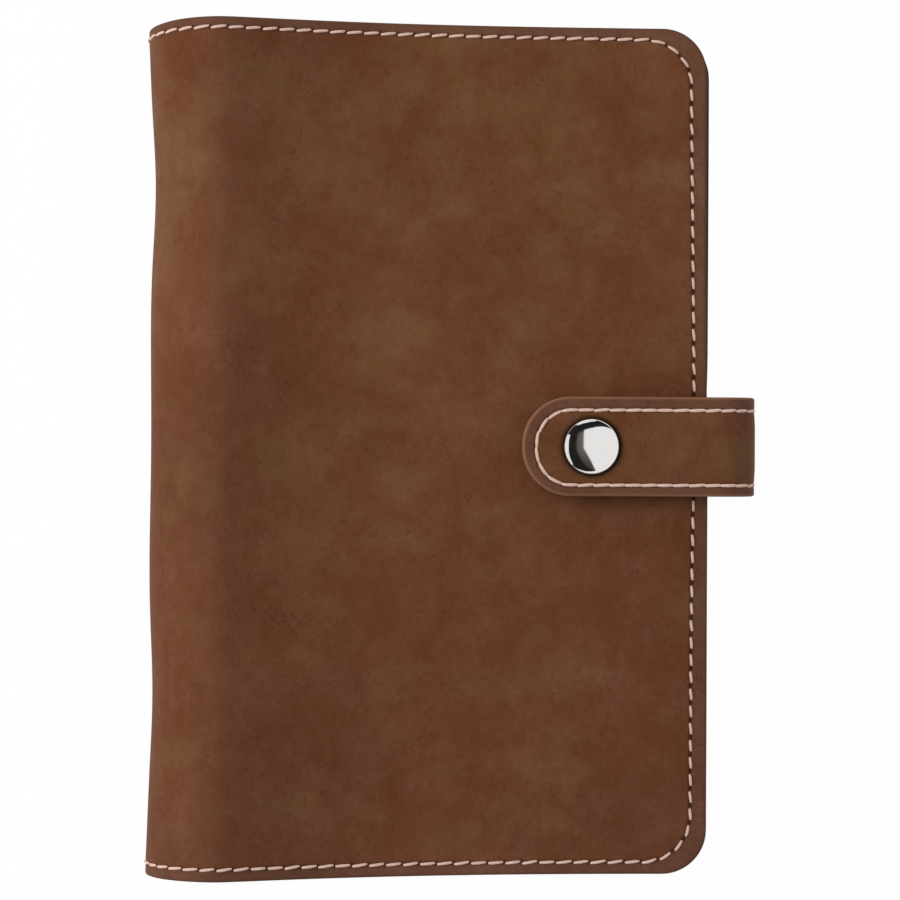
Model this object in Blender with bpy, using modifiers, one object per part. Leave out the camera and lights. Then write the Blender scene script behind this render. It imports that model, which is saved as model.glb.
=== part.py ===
"""Leather ring binder, closed, snapped shut and lying on its back cover.

Metres, +Z up. The spine is at -X, the fore edge and the closing strap at +X,
and the head of the book at +Y. The origin is on the table, under the middle of
the binder with its strap.
"""

import math

import bmesh
import bpy
import numpy as np
from mathutils import Matrix, Vector

# Covers and spine
COVER_HEIGHT = 0.190
COVER_WIDTH = 0.125
COVER_CORNER = 0.010
SPINE_DEPTH = 0.0165
FORE_EDGE_HEIGHT = 0.0135
SLOPE_LENGTH = 0.044
SLOPE_POWER = 1.15
FOLD_DEGREES = 45
FOLD_GAP = 0.0004

# Layers
LEATHER = 0.0012
BOARD = 0.0011
LINING = 0.0006
SPINE_STRIP = 0.0008
POCKET = 0.0006
SEAT_GAP = 0.0003
LINING_INSET = 0.0012
BOARD_INSET = 0.0040
BOARD_START = 0.012
POCKET_INSET = 0.0030
SLIP_POCKET_WIDTH = 0.074
CARD_POCKET_WIDTH = 0.066
CARD_POCKET_HEIGHT = 0.080
CARD_POCKET_STEP = 0.018
CARD_POCKETS = 2

# Closing strap and snap
STRAP_WIDTH = 0.0224
STRAP_RAISE = 0.0011
STRAP_LEATHER = 0.0011
STRAP_LINING = 0.0008
STRAP_TIP = 0.0108
STRAP_ROOT = 0.024
BEND_RUN = 0.0021
TONGUE_REACH = 0.0425
SNAP_FROM_TIP = 0.0155
SNAP_GAP = 0.0030
CAP_RADIUS = 0.00625
CAP_RISE = 0.0016
SOCKET_RADIUS = 0.0050
SOCKET_WALL = 0.0005
STUD_FLANGE = 0.0046
STUD_HEAD = 0.0021
STUD_NECK = 0.0016
POST_RADIUS = 0.0013
POST_FLANGE = 0.0036
POST_FLANGE_THICK = 0.0005

# Ring mechanism
RING_BORE = 0.014
RING_WIRE = 0.0024
RING_ROOM = 0.0031
RING_PITCH = 0.019
RING_MIDDLE_GAP = 0.051
RINGS_IN_GROUP = 3
RING_FOOT = 0.0046
RING_RUN = 0.0008
TIP_GAP = 0.0003
PLATE_LENGTH = 0.152
PLATE_WIDTH = 0.0144
PLATE_RISE = 0.0042
PLATE_WALL = 0.0008
PLATE_POWER = 3
BLADE_THICK = 0.0008
BLADE_LIFT = 0.0007
BLADE_END = 0.003
BLADE_SIDE = 0.0013
PIVOT_INSET = 0.0003
SLOT_CLEARANCE = 0.0005
RIVET_SPACING = 0.108
RIVET_RADIUS = 0.0014
RIVET_HEAD = 0.0030
RIVET_HEAD_RISE = 0.0011
RIVET_FLANGE = 0.0025
RIVET_FLANGE_THICK = 0.0005
HOLE_CLEARANCE = 0.0004
LEVER_WIDTH = 0.0040
LEVER_TOE = 0.0042
LEVER_THICK = 0.0011
LEVER_REACH = 0.0075
LEVER_RISE = 0.0055
LEVER_PAD_WIDTH = 0.0100
LEVER_PIN = 0.0007
LEVER_INSET = 0.0030

# Fineness of the facets
BACK_STEPS = 60
SPINE_STEPS = 180
FRONT_STEPS = 240
BEND_STEPS = 90
TONGUE_STEPS = 60
ARCH_STEPS = 16
SHEET_STEP = 0.0045
SPINE_STEP = 0.0016
BEND_STEP = 0.0012
CORNER_STEPS = 6
TURN_STEPS = 32
RING_STEPS = 20
WIRE_RESOLUTION = 2
CUT_MARGIN = 0.003

# Sizes that follow from those above
LINING_DEPTH = LEATHER + SEAT_GAP + max(BOARD, STRAP_LEATHER) + SEAT_GAP
COVER_THICK = LINING_DEPTH + LINING
RING_RADIUS = (RING_BORE + RING_WIRE) / 2
SPINE_HEIGHT = RING_BORE + 2 * (RING_WIRE + RING_ROOM + COVER_THICK)
SPINE_MIDDLE = SPINE_HEIGHT / 2
STRAP_THICK = STRAP_LEATHER + SEAT_GAP + STRAP_LINING
STRAP_TOP = FORE_EDGE_HEIGHT + SNAP_GAP + STRAP_THICK
STRAP_BOTTOM = LEATHER + SEAT_GAP
BEND_RADIUS = (STRAP_TOP - STRAP_BOTTOM) / 2
BEND_HEIGHT = (STRAP_TOP + STRAP_BOTTOM) / 2
STRAP_REACH = BEND_RUN + BEND_RADIUS
SPINE_X = -(COVER_WIDTH + STRAP_REACH) / 2
FORE_X = SPINE_X + COVER_WIDTH
BEND_X = FORE_X + BEND_RUN
HALF_HEIGHT = COVER_HEIGHT / 2

PARTS = "leather_ring_binder"
CUTTERS = "cutters"


class Line:
    """A line across the binder, seen from its foot, that a sheet follows.

    Its points are (x, z), and its outer side is on the left of its direction.
    """

    def __init__(self, points):
        self.points = np.array(points)
        steps = np.diff(self.points, axis=0)
        lengths = np.hypot(steps[:, 0], steps[:, 1])
        self.distances = np.concatenate(([0.0], np.cumsum(lengths)))
        self.length = self.distances[-1]
        tangents = np.gradient(self.points, self.distances, axis=0)
        tangents /= np.hypot(tangents[:, 0], tangents[:, 1])[:, None]
        self.outward = np.stack((-tangents[:, 1], tangents[:, 0]), axis=1)

    def normal(self, distance):
        """The outward direction at a distance along the line."""
        x = np.interp(distance, self.distances, self.outward[:, 0])
        z = np.interp(distance, self.distances, self.outward[:, 1])
        return Vector((x, 0.0, z)).normalized()

    def at(self, distance, depth=0.0):
        """The point at a distance along the line and a depth under it."""
        x = np.interp(distance, self.distances, self.points[:, 0])
        z = np.interp(distance, self.distances, self.points[:, 1])
        return Vector((x, 0.0, z)) - depth * self.normal(distance)

    def x_at_height(self, low, high, height, depth):
        """Where the stretch from low to high, at a depth, crosses a height."""
        places = [self.at(d, depth) for d in np.linspace(low, high, SPINE_STEPS)]
        heights = [place.z for place in places]
        return float(np.interp(height, heights, [place.x for place in places]))


def cover_points():
    """The outer surface from the back's fore edge, round the spine, to the front's."""
    back = np.linspace(FORE_X, SPINE_X + SPINE_DEPTH, BACK_STEPS, endpoint=False)
    points = [(x, 0.0) for x in back]
    for angle in np.linspace(-math.pi / 2, math.pi / 2, SPINE_STEPS, endpoint=False):
        x = SPINE_X + SPINE_DEPTH * (1 - math.cos(angle))
        points.append((x, SPINE_MIDDLE * (1 + math.sin(angle))))
    run = COVER_WIDTH - SPINE_DEPTH
    drop = SPINE_HEIGHT - FORE_EDGE_HEIGHT
    full = 1 - math.exp(-((run / SLOPE_LENGTH) ** SLOPE_POWER))
    for along in np.linspace(0.0, run, FRONT_STEPS):
        share = (1 - math.exp(-((along / SLOPE_LENGTH) ** SLOPE_POWER))) / full
        points.append((SPINE_X + SPINE_DEPTH + along, SPINE_HEIGHT - drop * share))
    return points


COVER = Line(cover_points())
FOLD_STEPS = round(SPINE_STEPS * FOLD_DEGREES / 180)
SPINE_INDEX = BACK_STEPS + SPINE_STEPS // 2
LOWER_FOLD = COVER.distances[SPINE_INDEX - FOLD_STEPS]
UPPER_FOLD = COVER.distances[SPINE_INDEX + FOLD_STEPS]
RIDGE = COVER.distances[BACK_STEPS + SPINE_STEPS]
BACK_END = COVER.distances[BACK_STEPS]


def strap_points():
    """The strap's outer surface from its tip, round the bend, to its root."""
    raise_by = SNAP_GAP + STRAP_THICK
    points = []
    for distance in np.linspace(COVER.length - TONGUE_REACH, COVER.length, TONGUE_STEPS):
        place = COVER.at(distance, -raise_by)
        points.append((place.x, place.z))
    for angle in np.linspace(math.pi / 2, -math.pi / 2, BEND_STEPS + 1):
        x = BEND_X + BEND_RADIUS * math.cos(angle)
        points.append((x, BEND_HEIGHT + BEND_RADIUS * math.sin(angle)))
    points.append((FORE_X, STRAP_BOTTOM))
    points.append((FORE_X - STRAP_ROOT, STRAP_BOTTOM))
    return points


STRAP = Line(strap_points())
BEND_FOLD_STEPS = round(BEND_STEPS * FOLD_DEGREES / 180)
TONGUE_FOLD = STRAP.distances[TONGUE_STEPS + BEND_STEPS // 2 - BEND_FOLD_STEPS]
ROOT_FOLD = STRAP.distances[TONGUE_STEPS + BEND_STEPS // 2 + BEND_FOLD_STEPS]
BEND_END = STRAP.distances[TONGUE_STEPS + BEND_STEPS]

# Depths under the spine's leather, which leave room for the rivets' tail flanges
RIVET_TAIL_X = SEAT_GAP + COVER.x_at_height(
    LOWER_FOLD, UPPER_FOLD, SPINE_MIDDLE + RIVET_FLANGE, LEATHER)
STRIP_DEPTH = RIVET_TAIL_X + RIVET_FLANGE_THICK + SEAT_GAP - SPINE_X
SPINE_LINING_DEPTH = STRIP_DEPTH + SPINE_STRIP + SEAT_GAP
PLATE_X = SEAT_GAP + COVER.x_at_height(
    LOWER_FOLD, UPPER_FOLD, SPINE_MIDDLE + PLATE_WIDTH / 2, SPINE_LINING_DEPTH + LINING)

# The mechanism, worked out from the plate's base
BLADE_BOTTOM = PLATE_X + BLADE_LIFT
BLADE_TOP = BLADE_BOTTOM + BLADE_THICK
BLADE_EDGE = PLATE_WIDTH / 2 - BLADE_SIDE
PIVOT_X = (BLADE_BOTTOM + BLADE_TOP) / 2
PIVOT_SIDE = BLADE_EDGE - PIVOT_INSET
FOOT_X = BLADE_TOP + SEAT_GAP
ARC_START_X = FOOT_X + RING_RUN
RING_X = ARC_START_X + math.sqrt(RING_RADIUS ** 2 - RING_FOOT ** 2)
BLADE_HALF = PLATE_LENGTH / 2 - BLADE_END
LEVER_Y = PLATE_LENGTH / 2 - LEVER_INSET
LEVER_TOP = BLADE_BOTTOM - SEAT_GAP
LEVER_X = LEVER_TOP - LEVER_THICK / 2
SNAP_DISTANCE = COVER.length - TONGUE_REACH + SNAP_FROM_TIP
RING_PLACES = [side * (RING_MIDDLE_GAP / 2 + k * RING_PITCH)
               for side in (1, -1) for k in range(RINGS_IN_GROUP)]
RIVET_PLACES = [side * RIVET_SPACING / 2 for side in (1, -1)]

# Finishes: colour, roughness, metallic
FINISHES = {
    "leather": ((0.130, 0.051, 0.023), 0.62, 0.0),
    "lining": ((0.060, 0.028, 0.016), 0.80, 0.0),
    "board": ((0.220, 0.200, 0.170), 0.90, 0.0),
    "chrome": ((0.830, 0.830, 0.850), 0.10, 1.0),
    "steel": ((0.600, 0.600, 0.600), 0.28, 1.0),
}


def clear_scene():
    """Remove every object, and make the two collections."""
    for item in list(bpy.data.objects):
        bpy.data.objects.remove(item)
    for name in (PARTS, CUTTERS):
        collection = bpy.data.collections.get(name)
        if collection is None:
            collection = bpy.data.collections.new(name)
            bpy.context.scene.collection.children.link(collection)


def finish(name):
    """A Principled material for one of the finishes."""
    found = bpy.data.materials.get(name)
    if found:
        return found
    colour, roughness, metallic = FINISHES[name]
    made = bpy.data.materials.new(name)
    made.use_nodes = True
    shader = made.node_tree.nodes["Principled BSDF"]
    shader.inputs["Base Color"].default_value = (*colour, 1.0)
    shader.inputs["Roughness"].default_value = roughness
    shader.inputs["Metallic"].default_value = metallic
    return made


def joint_axis(name, place, parent=None):
    """An empty on a joint's axis, which the joint's pieces are parented to."""
    empty = bpy.data.objects.new(name, None)
    bpy.data.collections[PARTS].objects.link(empty)
    empty["place"] = place
    empty.location = place
    attach(empty, parent)
    return empty


def attach(piece, parent):
    """Parent a piece to a joint's empty and keep it where it is."""
    if parent is None:
        return
    piece.parent = parent
    piece.matrix_parent_inverse = Matrix.Translation(-Vector(parent["place"]))


def add_piece(name, data, slot, parent):
    """A named sub-part from a mesh or curve."""
    piece = bpy.data.objects.new(name, data)
    bpy.data.collections[PARTS].objects.link(piece)
    data.materials.append(finish(slot))
    attach(piece, parent)
    return piece


def add_cutter(name, bm):
    """A hidden solid that Boolean modifiers use."""
    mesh = bpy.data.meshes.new(name)
    bm.to_mesh(mesh)
    bm.free()
    cutter = bpy.data.objects.new(name, mesh)
    bpy.data.collections[CUTTERS].objects.link(cutter)
    cutter.hide_render = True
    cutter.display_type = "WIRE"
    return cutter


def combine(piece, other, operation="DIFFERENCE"):
    """Cut a piece by a hidden solid, or join the two."""
    modifier = piece.modifiers.new(other.name, "BOOLEAN")
    modifier.operation = operation
    modifier.object = other


def box_into(bm, low, high):
    """Add a box between two corners."""
    low = Vector(low)
    high = Vector(high)
    size = high - low
    place = Matrix.Translation((low + high) / 2)
    bmesh.ops.create_cube(bm, size=1.0, matrix=place @ Matrix.Diagonal((*size, 1.0)))


def rod_into(bm, radius, start, end):
    """Add a cylinder from one point to another."""
    start = Vector(start)
    end = Vector(end)
    along = end - start
    turn = along.to_track_quat("Z", "Y").to_matrix().to_4x4()
    bmesh.ops.create_cone(
        bm, cap_ends=True, segments=TURN_STEPS, radius1=radius, radius2=radius,
        depth=along.length, matrix=Matrix.Translation((start + end) / 2) @ turn)


def stations(start, end, corner, step, rounded):
    """Distances along a sheet, closer together over its rounded corners."""
    count = max(1, math.ceil((end - start - corner) / step))
    straight = np.linspace(start, end - corner, count + 1)
    turns = np.arange(1, CORNER_STEPS + 1) * math.pi / 2 / CORNER_STEPS
    curved = end - corner + corner * np.sin(turns) if corner else []
    places = np.concatenate((straight, curved))
    return places if rounded == "end" else start + end - places[::-1]


def sheet(name, line, start, end, depth, thick, slot, parent, low=-HALF_HEIGHT,
          high=HALF_HEIGHT, corner=0.0, step=SHEET_STEP, rounded="end"):
    """A sheet that follows a line at a depth, between two places along Y.

    Its two corners at the rounded end have the corner radius.
    """
    corner = min(corner, 0.48 * (high - low))
    places = stations(start, end, corner, step, rounded)
    last = len(places) - 1
    bm = bmesh.new()
    bmesh.ops.create_grid(bm, x_segments=last, y_segments=1, size=0.5)
    for vertex in bm.verts:
        distance = places[round((vertex.co.x + 0.5) * last)]
        from_edge = end - distance if rounded == "end" else distance - start
        missing = max(0.0, corner - from_edge)
        inset = corner - math.sqrt(max(0.0, corner ** 2 - missing ** 2))
        place = line.at(distance, depth)
        place.y = high - inset if vertex.co.y > 0 else low + inset
        vertex.co = place
    mesh = bpy.data.meshes.new(name)
    bm.to_mesh(mesh)
    bm.free()
    mesh.shade_smooth()
    piece = add_piece(name, mesh, slot, parent)
    solid = piece.modifiers.new("thickness", "SOLIDIFY")
    solid.thickness = thick
    solid.offset = -1.0
    solid.use_even_offset = True
    return piece


def turned(name, profile, place, axis, slot, parent):
    """A turned piece: a profile of (radius, height), top to bottom, about an axis."""
    mesh = bpy.data.meshes.new(name)
    points = [(radius, 0.0, height) for radius, height in profile]
    mesh.from_pydata(points, [(k, k + 1) for k in range(len(points) - 1)], [])
    piece = add_piece(name, mesh, slot, parent)
    piece.location = place
    piece.rotation_euler = axis.to_track_quat("Z", "Y").to_euler()
    screw = piece.modifiers.new("turn", "SCREW")
    screw.axis = "Z"
    screw.steps = TURN_STEPS
    screw.render_steps = TURN_STEPS
    screw.use_merge_vertices = True
    screw.merge_threshold = 0.00001
    screw.use_smooth_shade = True
    return piece


def dome(radius, rise, base, steps=5):
    """Points over a shallow dome, from its top down to its rim."""
    turns = [k * math.pi / 2 / steps for k in range(steps + 1)]
    return [(radius * math.sin(turn), base + rise * math.cos(turn)) for turn in turns]


def pocket(name, parent, start, end, layer, low, high, rounded):
    """A flat pocket sewn on a cover's lining, in one of the layers over it."""
    depth = COVER_THICK + SEAT_GAP + layer * (POCKET + SEAT_GAP)
    sheet(name, COVER, start, end, depth, POCKET, "lining", parent, low, high,
          COVER_CORNER - POCKET_INSET, rounded=rounded)


def snap_place():
    """Where the snap's axis meets the front cover, and the way it points."""
    place = COVER.at(SNAP_DISTANCE)
    place.y = STRAP_RAISE
    return place, COVER.normal(SNAP_DISTANCE)


def make_back_cover():
    """The back cover's leather, board, lining and pocket, which the rest hangs on."""
    sheet("back_cover_leather", COVER, 0.0, LOWER_FOLD - FOLD_GAP / 2, 0.0, LEATHER,
          "leather", None, corner=COVER_CORNER, step=SPINE_STEP, rounded="start")
    inner = HALF_HEIGHT - BOARD_INSET
    board = sheet("back_board", COVER, BOARD_INSET, BACK_END - BOARD_START,
                  LEATHER + SEAT_GAP, BOARD, "board", None, -inner, inner,
                  COVER_CORNER - BOARD_INSET, rounded="start")
    notch = bmesh.new()
    half = STRAP_WIDTH / 2 + SEAT_GAP
    box_into(notch, (FORE_X - STRAP_ROOT - SEAT_GAP, STRAP_RAISE - half, -CUT_MARGIN),
             (FORE_X + CUT_MARGIN, STRAP_RAISE + half, COVER_THICK + CUT_MARGIN))
    combine(board, add_cutter("strap_notch", notch))
    inner = HALF_HEIGHT - LINING_INSET
    sheet("back_lining", COVER, LINING_INSET, LOWER_FOLD - FOLD_GAP / 2, LINING_DEPTH,
          LINING, "lining", None, -inner, inner, COVER_CORNER - LINING_INSET,
          SPINE_STEP, "start")
    inner = HALF_HEIGHT - POCKET_INSET
    pocket("back_slip_pocket", None, POCKET_INSET, POCKET_INSET + SLIP_POCKET_WIDTH,
           0, -inner, inner, "start")


def make_spine(axis):
    """The soft spine, with the strip inside it that the mechanism is riveted to."""
    start = LOWER_FOLD + FOLD_GAP / 2
    end = UPPER_FOLD - FOLD_GAP / 2
    holes = bmesh.new()
    for y in RIVET_PLACES:
        rod_into(holes, RIVET_RADIUS + HOLE_CLEARANCE,
                 (RIVET_TAIL_X, y, SPINE_MIDDLE), (PLATE_X, y, SPINE_MIDDLE))
    holes = add_cutter("spine_rivet_holes", holes)
    sheet("spine_leather", COVER, start, end, 0.0, LEATHER, "leather", axis,
          step=SPINE_STEP)
    inner = HALF_HEIGHT - BOARD_INSET
    strip = sheet("spine_backing_strip", COVER, start, end, STRIP_DEPTH, SPINE_STRIP,
                  "board", axis, -inner, inner, step=SPINE_STEP)
    combine(strip, holes)
    inner = HALF_HEIGHT - LINING_INSET
    lining = sheet("spine_lining", COVER, start, end, SPINE_LINING_DEPTH, LINING,
                   "lining", axis, -inner, inner, step=SPINE_STEP)
    combine(lining, holes)


def make_front_cover(axis):
    """The front cover's leather, board, lining and pockets."""
    snap, outward = snap_place()
    hole = bmesh.new()
    rod_into(hole, POST_RADIUS + HOLE_CLEARANCE, snap + CUT_MARGIN * outward,
             snap - COVER_THICK * outward)
    well = bmesh.new()
    rod_into(well, POST_FLANGE + HOLE_CLEARANCE, snap, snap - LINING_DEPTH * outward)
    leather = sheet("front_cover_leather", COVER, UPPER_FOLD + FOLD_GAP / 2, COVER.length,
                    0.0, LEATHER, "leather", axis, corner=COVER_CORNER, step=SPINE_STEP)
    combine(leather, add_cutter("stud_hole", hole))
    inner = HALF_HEIGHT - BOARD_INSET
    board = sheet("front_board", COVER, RIDGE + BOARD_START, COVER.length - BOARD_INSET,
                  LEATHER + SEAT_GAP, BOARD, "board", axis, -inner, inner,
                  COVER_CORNER - BOARD_INSET)
    combine(board, add_cutter("stud_well", well))
    inner = HALF_HEIGHT - LINING_INSET
    sheet("front_lining", COVER, UPPER_FOLD + FOLD_GAP / 2, COVER.length - LINING_INSET,
          LINING_DEPTH, LINING, "lining", axis, -inner, inner,
          COVER_CORNER - LINING_INSET, SPINE_STEP)
    end = COVER.length - POCKET_INSET
    foot = POCKET_INSET - HALF_HEIGHT
    pocket("front_slip_pocket", axis, end - SLIP_POCKET_WIDTH, end, 0, foot, -foot, "end")
    for k in range(CARD_POCKETS):
        top = foot + CARD_POCKET_HEIGHT - k * CARD_POCKET_STEP
        pocket(f"front_card_pocket_{k + 1}", axis, end - CARD_POCKET_WIDTH, end, k + 1,
               foot, top, "end")


def make_strap(bend_axis, tongue_axis):
    """The strap's leather and lining, in three lengths: tongue, bend and root."""
    low = STRAP_RAISE - STRAP_WIDTH / 2
    high = STRAP_RAISE + STRAP_WIDTH / 2
    half_gap = FOLD_GAP / 2
    snap, outward = snap_place()
    hole = bmesh.new()
    rod_into(hole, POST_RADIUS + HOLE_CLEARANCE, snap,
             snap + (SNAP_GAP + STRAP_THICK + CUT_MARGIN) * outward)
    hole = add_cutter("cap_hole", hole)
    root_end = BEND_END + BEND_RUN - SEAT_GAP
    lengths = {
        "tongue": (0.0, TONGUE_FOLD - half_gap, tongue_axis),
        "bend": (TONGUE_FOLD + half_gap, ROOT_FOLD - half_gap, bend_axis),
        "root": (ROOT_FOLD + half_gap, STRAP.length, None),
    }
    layers = {"leather": (0.0, STRAP_LEATHER),
              "lining": (STRAP_LEATHER + SEAT_GAP, STRAP_LINING)}
    for part, (start, end, parent) in lengths.items():
        for layer, (depth, thick) in layers.items():
            if part == "root" and layer == "lining":
                end = root_end
            corner = STRAP_TIP if part == "tongue" else 0.0
            piece = sheet(f"strap_{part}_{layer}", STRAP, start, end, depth, thick, layer,
                          parent, low, high, corner, BEND_STEP, "start")
            if part == "tongue":
                combine(piece, hole)


def make_snap(tongue_axis, cover_axis):
    """The press snap: cap and socket on the strap, stud and post on the cover."""
    face, outward = snap_place()
    under = face + SNAP_GAP * outward
    top = STRAP_THICK + SEAT_GAP
    cap = dome(CAP_RADIUS, CAP_RISE, top + STUD_NECK / 4)
    cap += [(CAP_RADIUS, top), (POST_RADIUS, top), (POST_RADIUS, 0.0), (0.0, 0.0)]
    turned("snap_cap", cap, under, outward, "chrome", tongue_axis)
    bottom = -SNAP_GAP + 2 * SEAT_GAP + POST_FLANGE_THICK
    cavity = STUD_HEAD + SEAT_GAP
    roof = -2 * SEAT_GAP - SOCKET_WALL
    socket = [(0.0, -SEAT_GAP), (POST_FLANGE, -SEAT_GAP), (SOCKET_RADIUS, roof),
              (SOCKET_RADIUS, bottom), (cavity, bottom), (cavity, roof), (0.0, roof)]
    turned("snap_socket", socket, under, outward, "steel", tongue_axis)
    flange = SEAT_GAP + POST_FLANGE_THICK
    crown = SNAP_GAP + roof - SEAT_GAP
    waist = (flange + crown) / 2
    stud = dome(STUD_HEAD, crown - waist, waist)
    stud += [(STUD_NECK, flange), (STUD_FLANGE, flange), (STUD_FLANGE, SEAT_GAP),
             (0.0, SEAT_GAP)]
    turned("snap_stud", stud, face, outward, "steel", cover_axis)
    head = -LEATHER - SEAT_GAP
    post = [(0.0, 0.0), (POST_RADIUS, 0.0), (POST_RADIUS, head), (POST_FLANGE, head),
            (POST_FLANGE, head - POST_FLANGE_THICK), (0.0, head - POST_FLANGE_THICK)]
    turned("snap_stud_post", post, face, outward, "steel", cover_axis)


def arch(half_width, rise):
    """The mechanism plate's arched section as (x, z), from its upper edge to its lower."""
    points = []
    for turn in np.linspace(0.0, math.pi, ARCH_STEPS + 1):
        side = math.copysign(abs(math.cos(turn)) ** (2 / PLATE_POWER), math.cos(turn))
        up = math.sin(turn) ** (2 / PLATE_POWER)
        points.append((PLATE_X + rise * up, SPINE_MIDDLE + half_width * side))
    return points


def make_plate(axis):
    """The arched plate, with a notch for each ring's foot and its rivet holes."""
    line = Line(arch(PLATE_WIDTH / 2, PLATE_RISE))
    half = PLATE_LENGTH / 2
    plate = sheet("mechanism_plate", line, 0.0, line.length, 0.0, PLATE_WALL, "steel", axis,
                  -half, half, step=line.length / ARCH_STEPS / 2)
    notches = bmesh.new()
    reach = RING_WIRE / 2 + SLOT_CLEARANCE
    for y in RING_PLACES:
        for side in (1, -1):
            near = SPINE_MIDDLE + side * (RING_FOOT - reach)
            far = SPINE_MIDDLE + side * (PLATE_WIDTH / 2 + CUT_MARGIN)
            box_into(notches, (BLADE_TOP, y - reach, min(near, far)),
                     (PLATE_X + PLATE_RISE + CUT_MARGIN, y + reach, max(near, far)))
    combine(plate, add_cutter("ring_notches", notches))
    holes = bmesh.new()
    for y in RIVET_PLACES:
        rod_into(holes, RIVET_RADIUS + HOLE_CLEARANCE, (PLATE_X, y, SPINE_MIDDLE),
                 (PLATE_X + PLATE_RISE + CUT_MARGIN, y, SPINE_MIDDLE))
    combine(plate, add_cutter("plate_rivet_holes", holes))


def make_rivets(axis):
    """The two rivets from the spine's strip, through its lining, to the plate."""
    tail = RIVET_TAIL_X - PLATE_X
    crown = PLATE_RISE + SEAT_GAP
    profile = dome(RIVET_HEAD, RIVET_HEAD_RISE, crown)
    profile += [(RIVET_RADIUS, crown), (RIVET_RADIUS, tail + RIVET_FLANGE_THICK),
                (RIVET_FLANGE, tail + RIVET_FLANGE_THICK), (RIVET_FLANGE, tail),
                (0.0, tail)]
    for name, y in zip(("head_rivet", "tail_rivet"), RIVET_PLACES):
        turned(name, profile, Vector((PLATE_X, y, SPINE_MIDDLE)), Vector((1.0, 0.0, 0.0)),
               "steel", axis)


def make_rings(name, side, axis):
    """One blade, upper or lower, and the half rings that stand on it."""
    relief = bmesh.new()
    for y in RIVET_PLACES:
        rod_into(relief, RIVET_RADIUS + 2 * HOLE_CLEARANCE, (PLATE_X, y, SPINE_MIDDLE),
                 (PLATE_X + PLATE_RISE, y, SPINE_MIDDLE))
    bm = bmesh.new()
    near = SPINE_MIDDLE + side * SEAT_GAP / 2
    far = SPINE_MIDDLE + side * BLADE_EDGE
    box_into(bm, (BLADE_BOTTOM, -BLADE_HALF, min(near, far)),
             (BLADE_TOP, BLADE_HALF, max(near, far)))
    mesh = bpy.data.meshes.new(f"{name}_blade")
    bm.to_mesh(mesh)
    bm.free()
    blade = add_piece(f"{name}_blade", mesh, "steel", axis)
    combine(blade, add_cutter(f"{name}_blade_relief", relief))
    first = math.asin(TIP_GAP / 2 / RING_RADIUS)
    last = math.pi - math.asin(RING_FOOT / RING_RADIUS)
    section = [(RING_X + RING_RADIUS * math.cos(turn), RING_RADIUS * math.sin(turn))
               for turn in np.linspace(first, last, RING_STEPS)]
    section.append((FOOT_X, RING_FOOT))
    for k, y in enumerate(RING_PLACES):
        curve = bpy.data.curves.new(f"{name}_ring_{k + 1}", "CURVE")
        curve.dimensions = "3D"
        curve.bevel_depth = RING_WIRE / 2
        curve.bevel_resolution = WIRE_RESOLUTION
        curve.use_fill_caps = True
        spline = curve.splines.new("POLY")
        spline.points.add(len(section) - 1)
        for point, (x, up) in zip(spline.points, section):
            point.co = (x, y, SPINE_MIDDLE + side * up, 1.0)
            point.radius = 1.0
        add_piece(curve.name, curve, "chrome", axis)


def lever_outline(end):
    """A lever's side, from its toe under the blades to the foot of its finger pad."""
    toe = LEVER_Y - LEVER_TOE
    reach = PLATE_LENGTH / 2 + LEVER_REACH - LEVER_INSET
    low = LEVER_TOP - LEVER_THICK
    rise = LEVER_TOP + LEVER_RISE
    outline = [(low, toe), (low, reach), (rise, reach + LEVER_THICK),
               (rise, reach), (LEVER_TOP, reach - LEVER_THICK), (LEVER_TOP, toe)]
    return [(x, end * y) for x, y in outline]


def make_lever(name, end, axis):
    """An opening lever: an arm under the blades, a cross pin and a finger pad."""
    curve = bpy.data.curves.new(name, "CURVE")
    curve.dimensions = "2D"
    curve.fill_mode = "BOTH"
    curve.extrude = LEVER_WIDTH / 2
    outline = lever_outline(end)
    spline = curve.splines.new("POLY")
    spline.points.add(len(outline) - 1)
    spline.use_cyclic_u = True
    for point, (x, y) in zip(spline.points, outline):
        point.co = (x, y, 0.0, 1.0)
    drawn = bpy.data.objects.new(name, curve)
    bpy.data.collections[PARTS].objects.link(drawn)
    drawn.location.z = SPINE_MIDDLE
    view = bpy.context.evaluated_depsgraph_get()
    mesh = bpy.data.meshes.new_from_object(drawn.evaluated_get(view))
    mesh.transform(Matrix.Translation(drawn.location))
    bpy.data.objects.remove(drawn)
    bm = bmesh.new()
    bm.from_mesh(mesh)
    bmesh.ops.remove_doubles(bm, verts=bm.verts, dist=0.00001)
    bmesh.ops.recalc_face_normals(bm, faces=bm.faces)
    bm.to_mesh(mesh)
    bm.free()
    mesh.name = name
    lever = add_piece(name, mesh, "steel", axis)
    pin = bmesh.new()
    reach = PLATE_WIDTH / 2 - PLATE_WALL - SEAT_GAP
    rod_into(pin, LEVER_PIN, (LEVER_X, end * LEVER_Y, SPINE_MIDDLE - reach),
             (LEVER_X, end * LEVER_Y, SPINE_MIDDLE + reach))
    combine(lever, add_cutter(f"{name}_pin", pin), "UNION")
    pad = bmesh.new()
    x, y = outline[2]
    half = LEVER_PAD_WIDTH / 2
    rod_into(pad, LEVER_THICK, (x, y, SPINE_MIDDLE - half), (x, y, SPINE_MIDDLE + half))
    combine(lever, add_cutter(f"{name}_pad", pad), "UNION")


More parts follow.
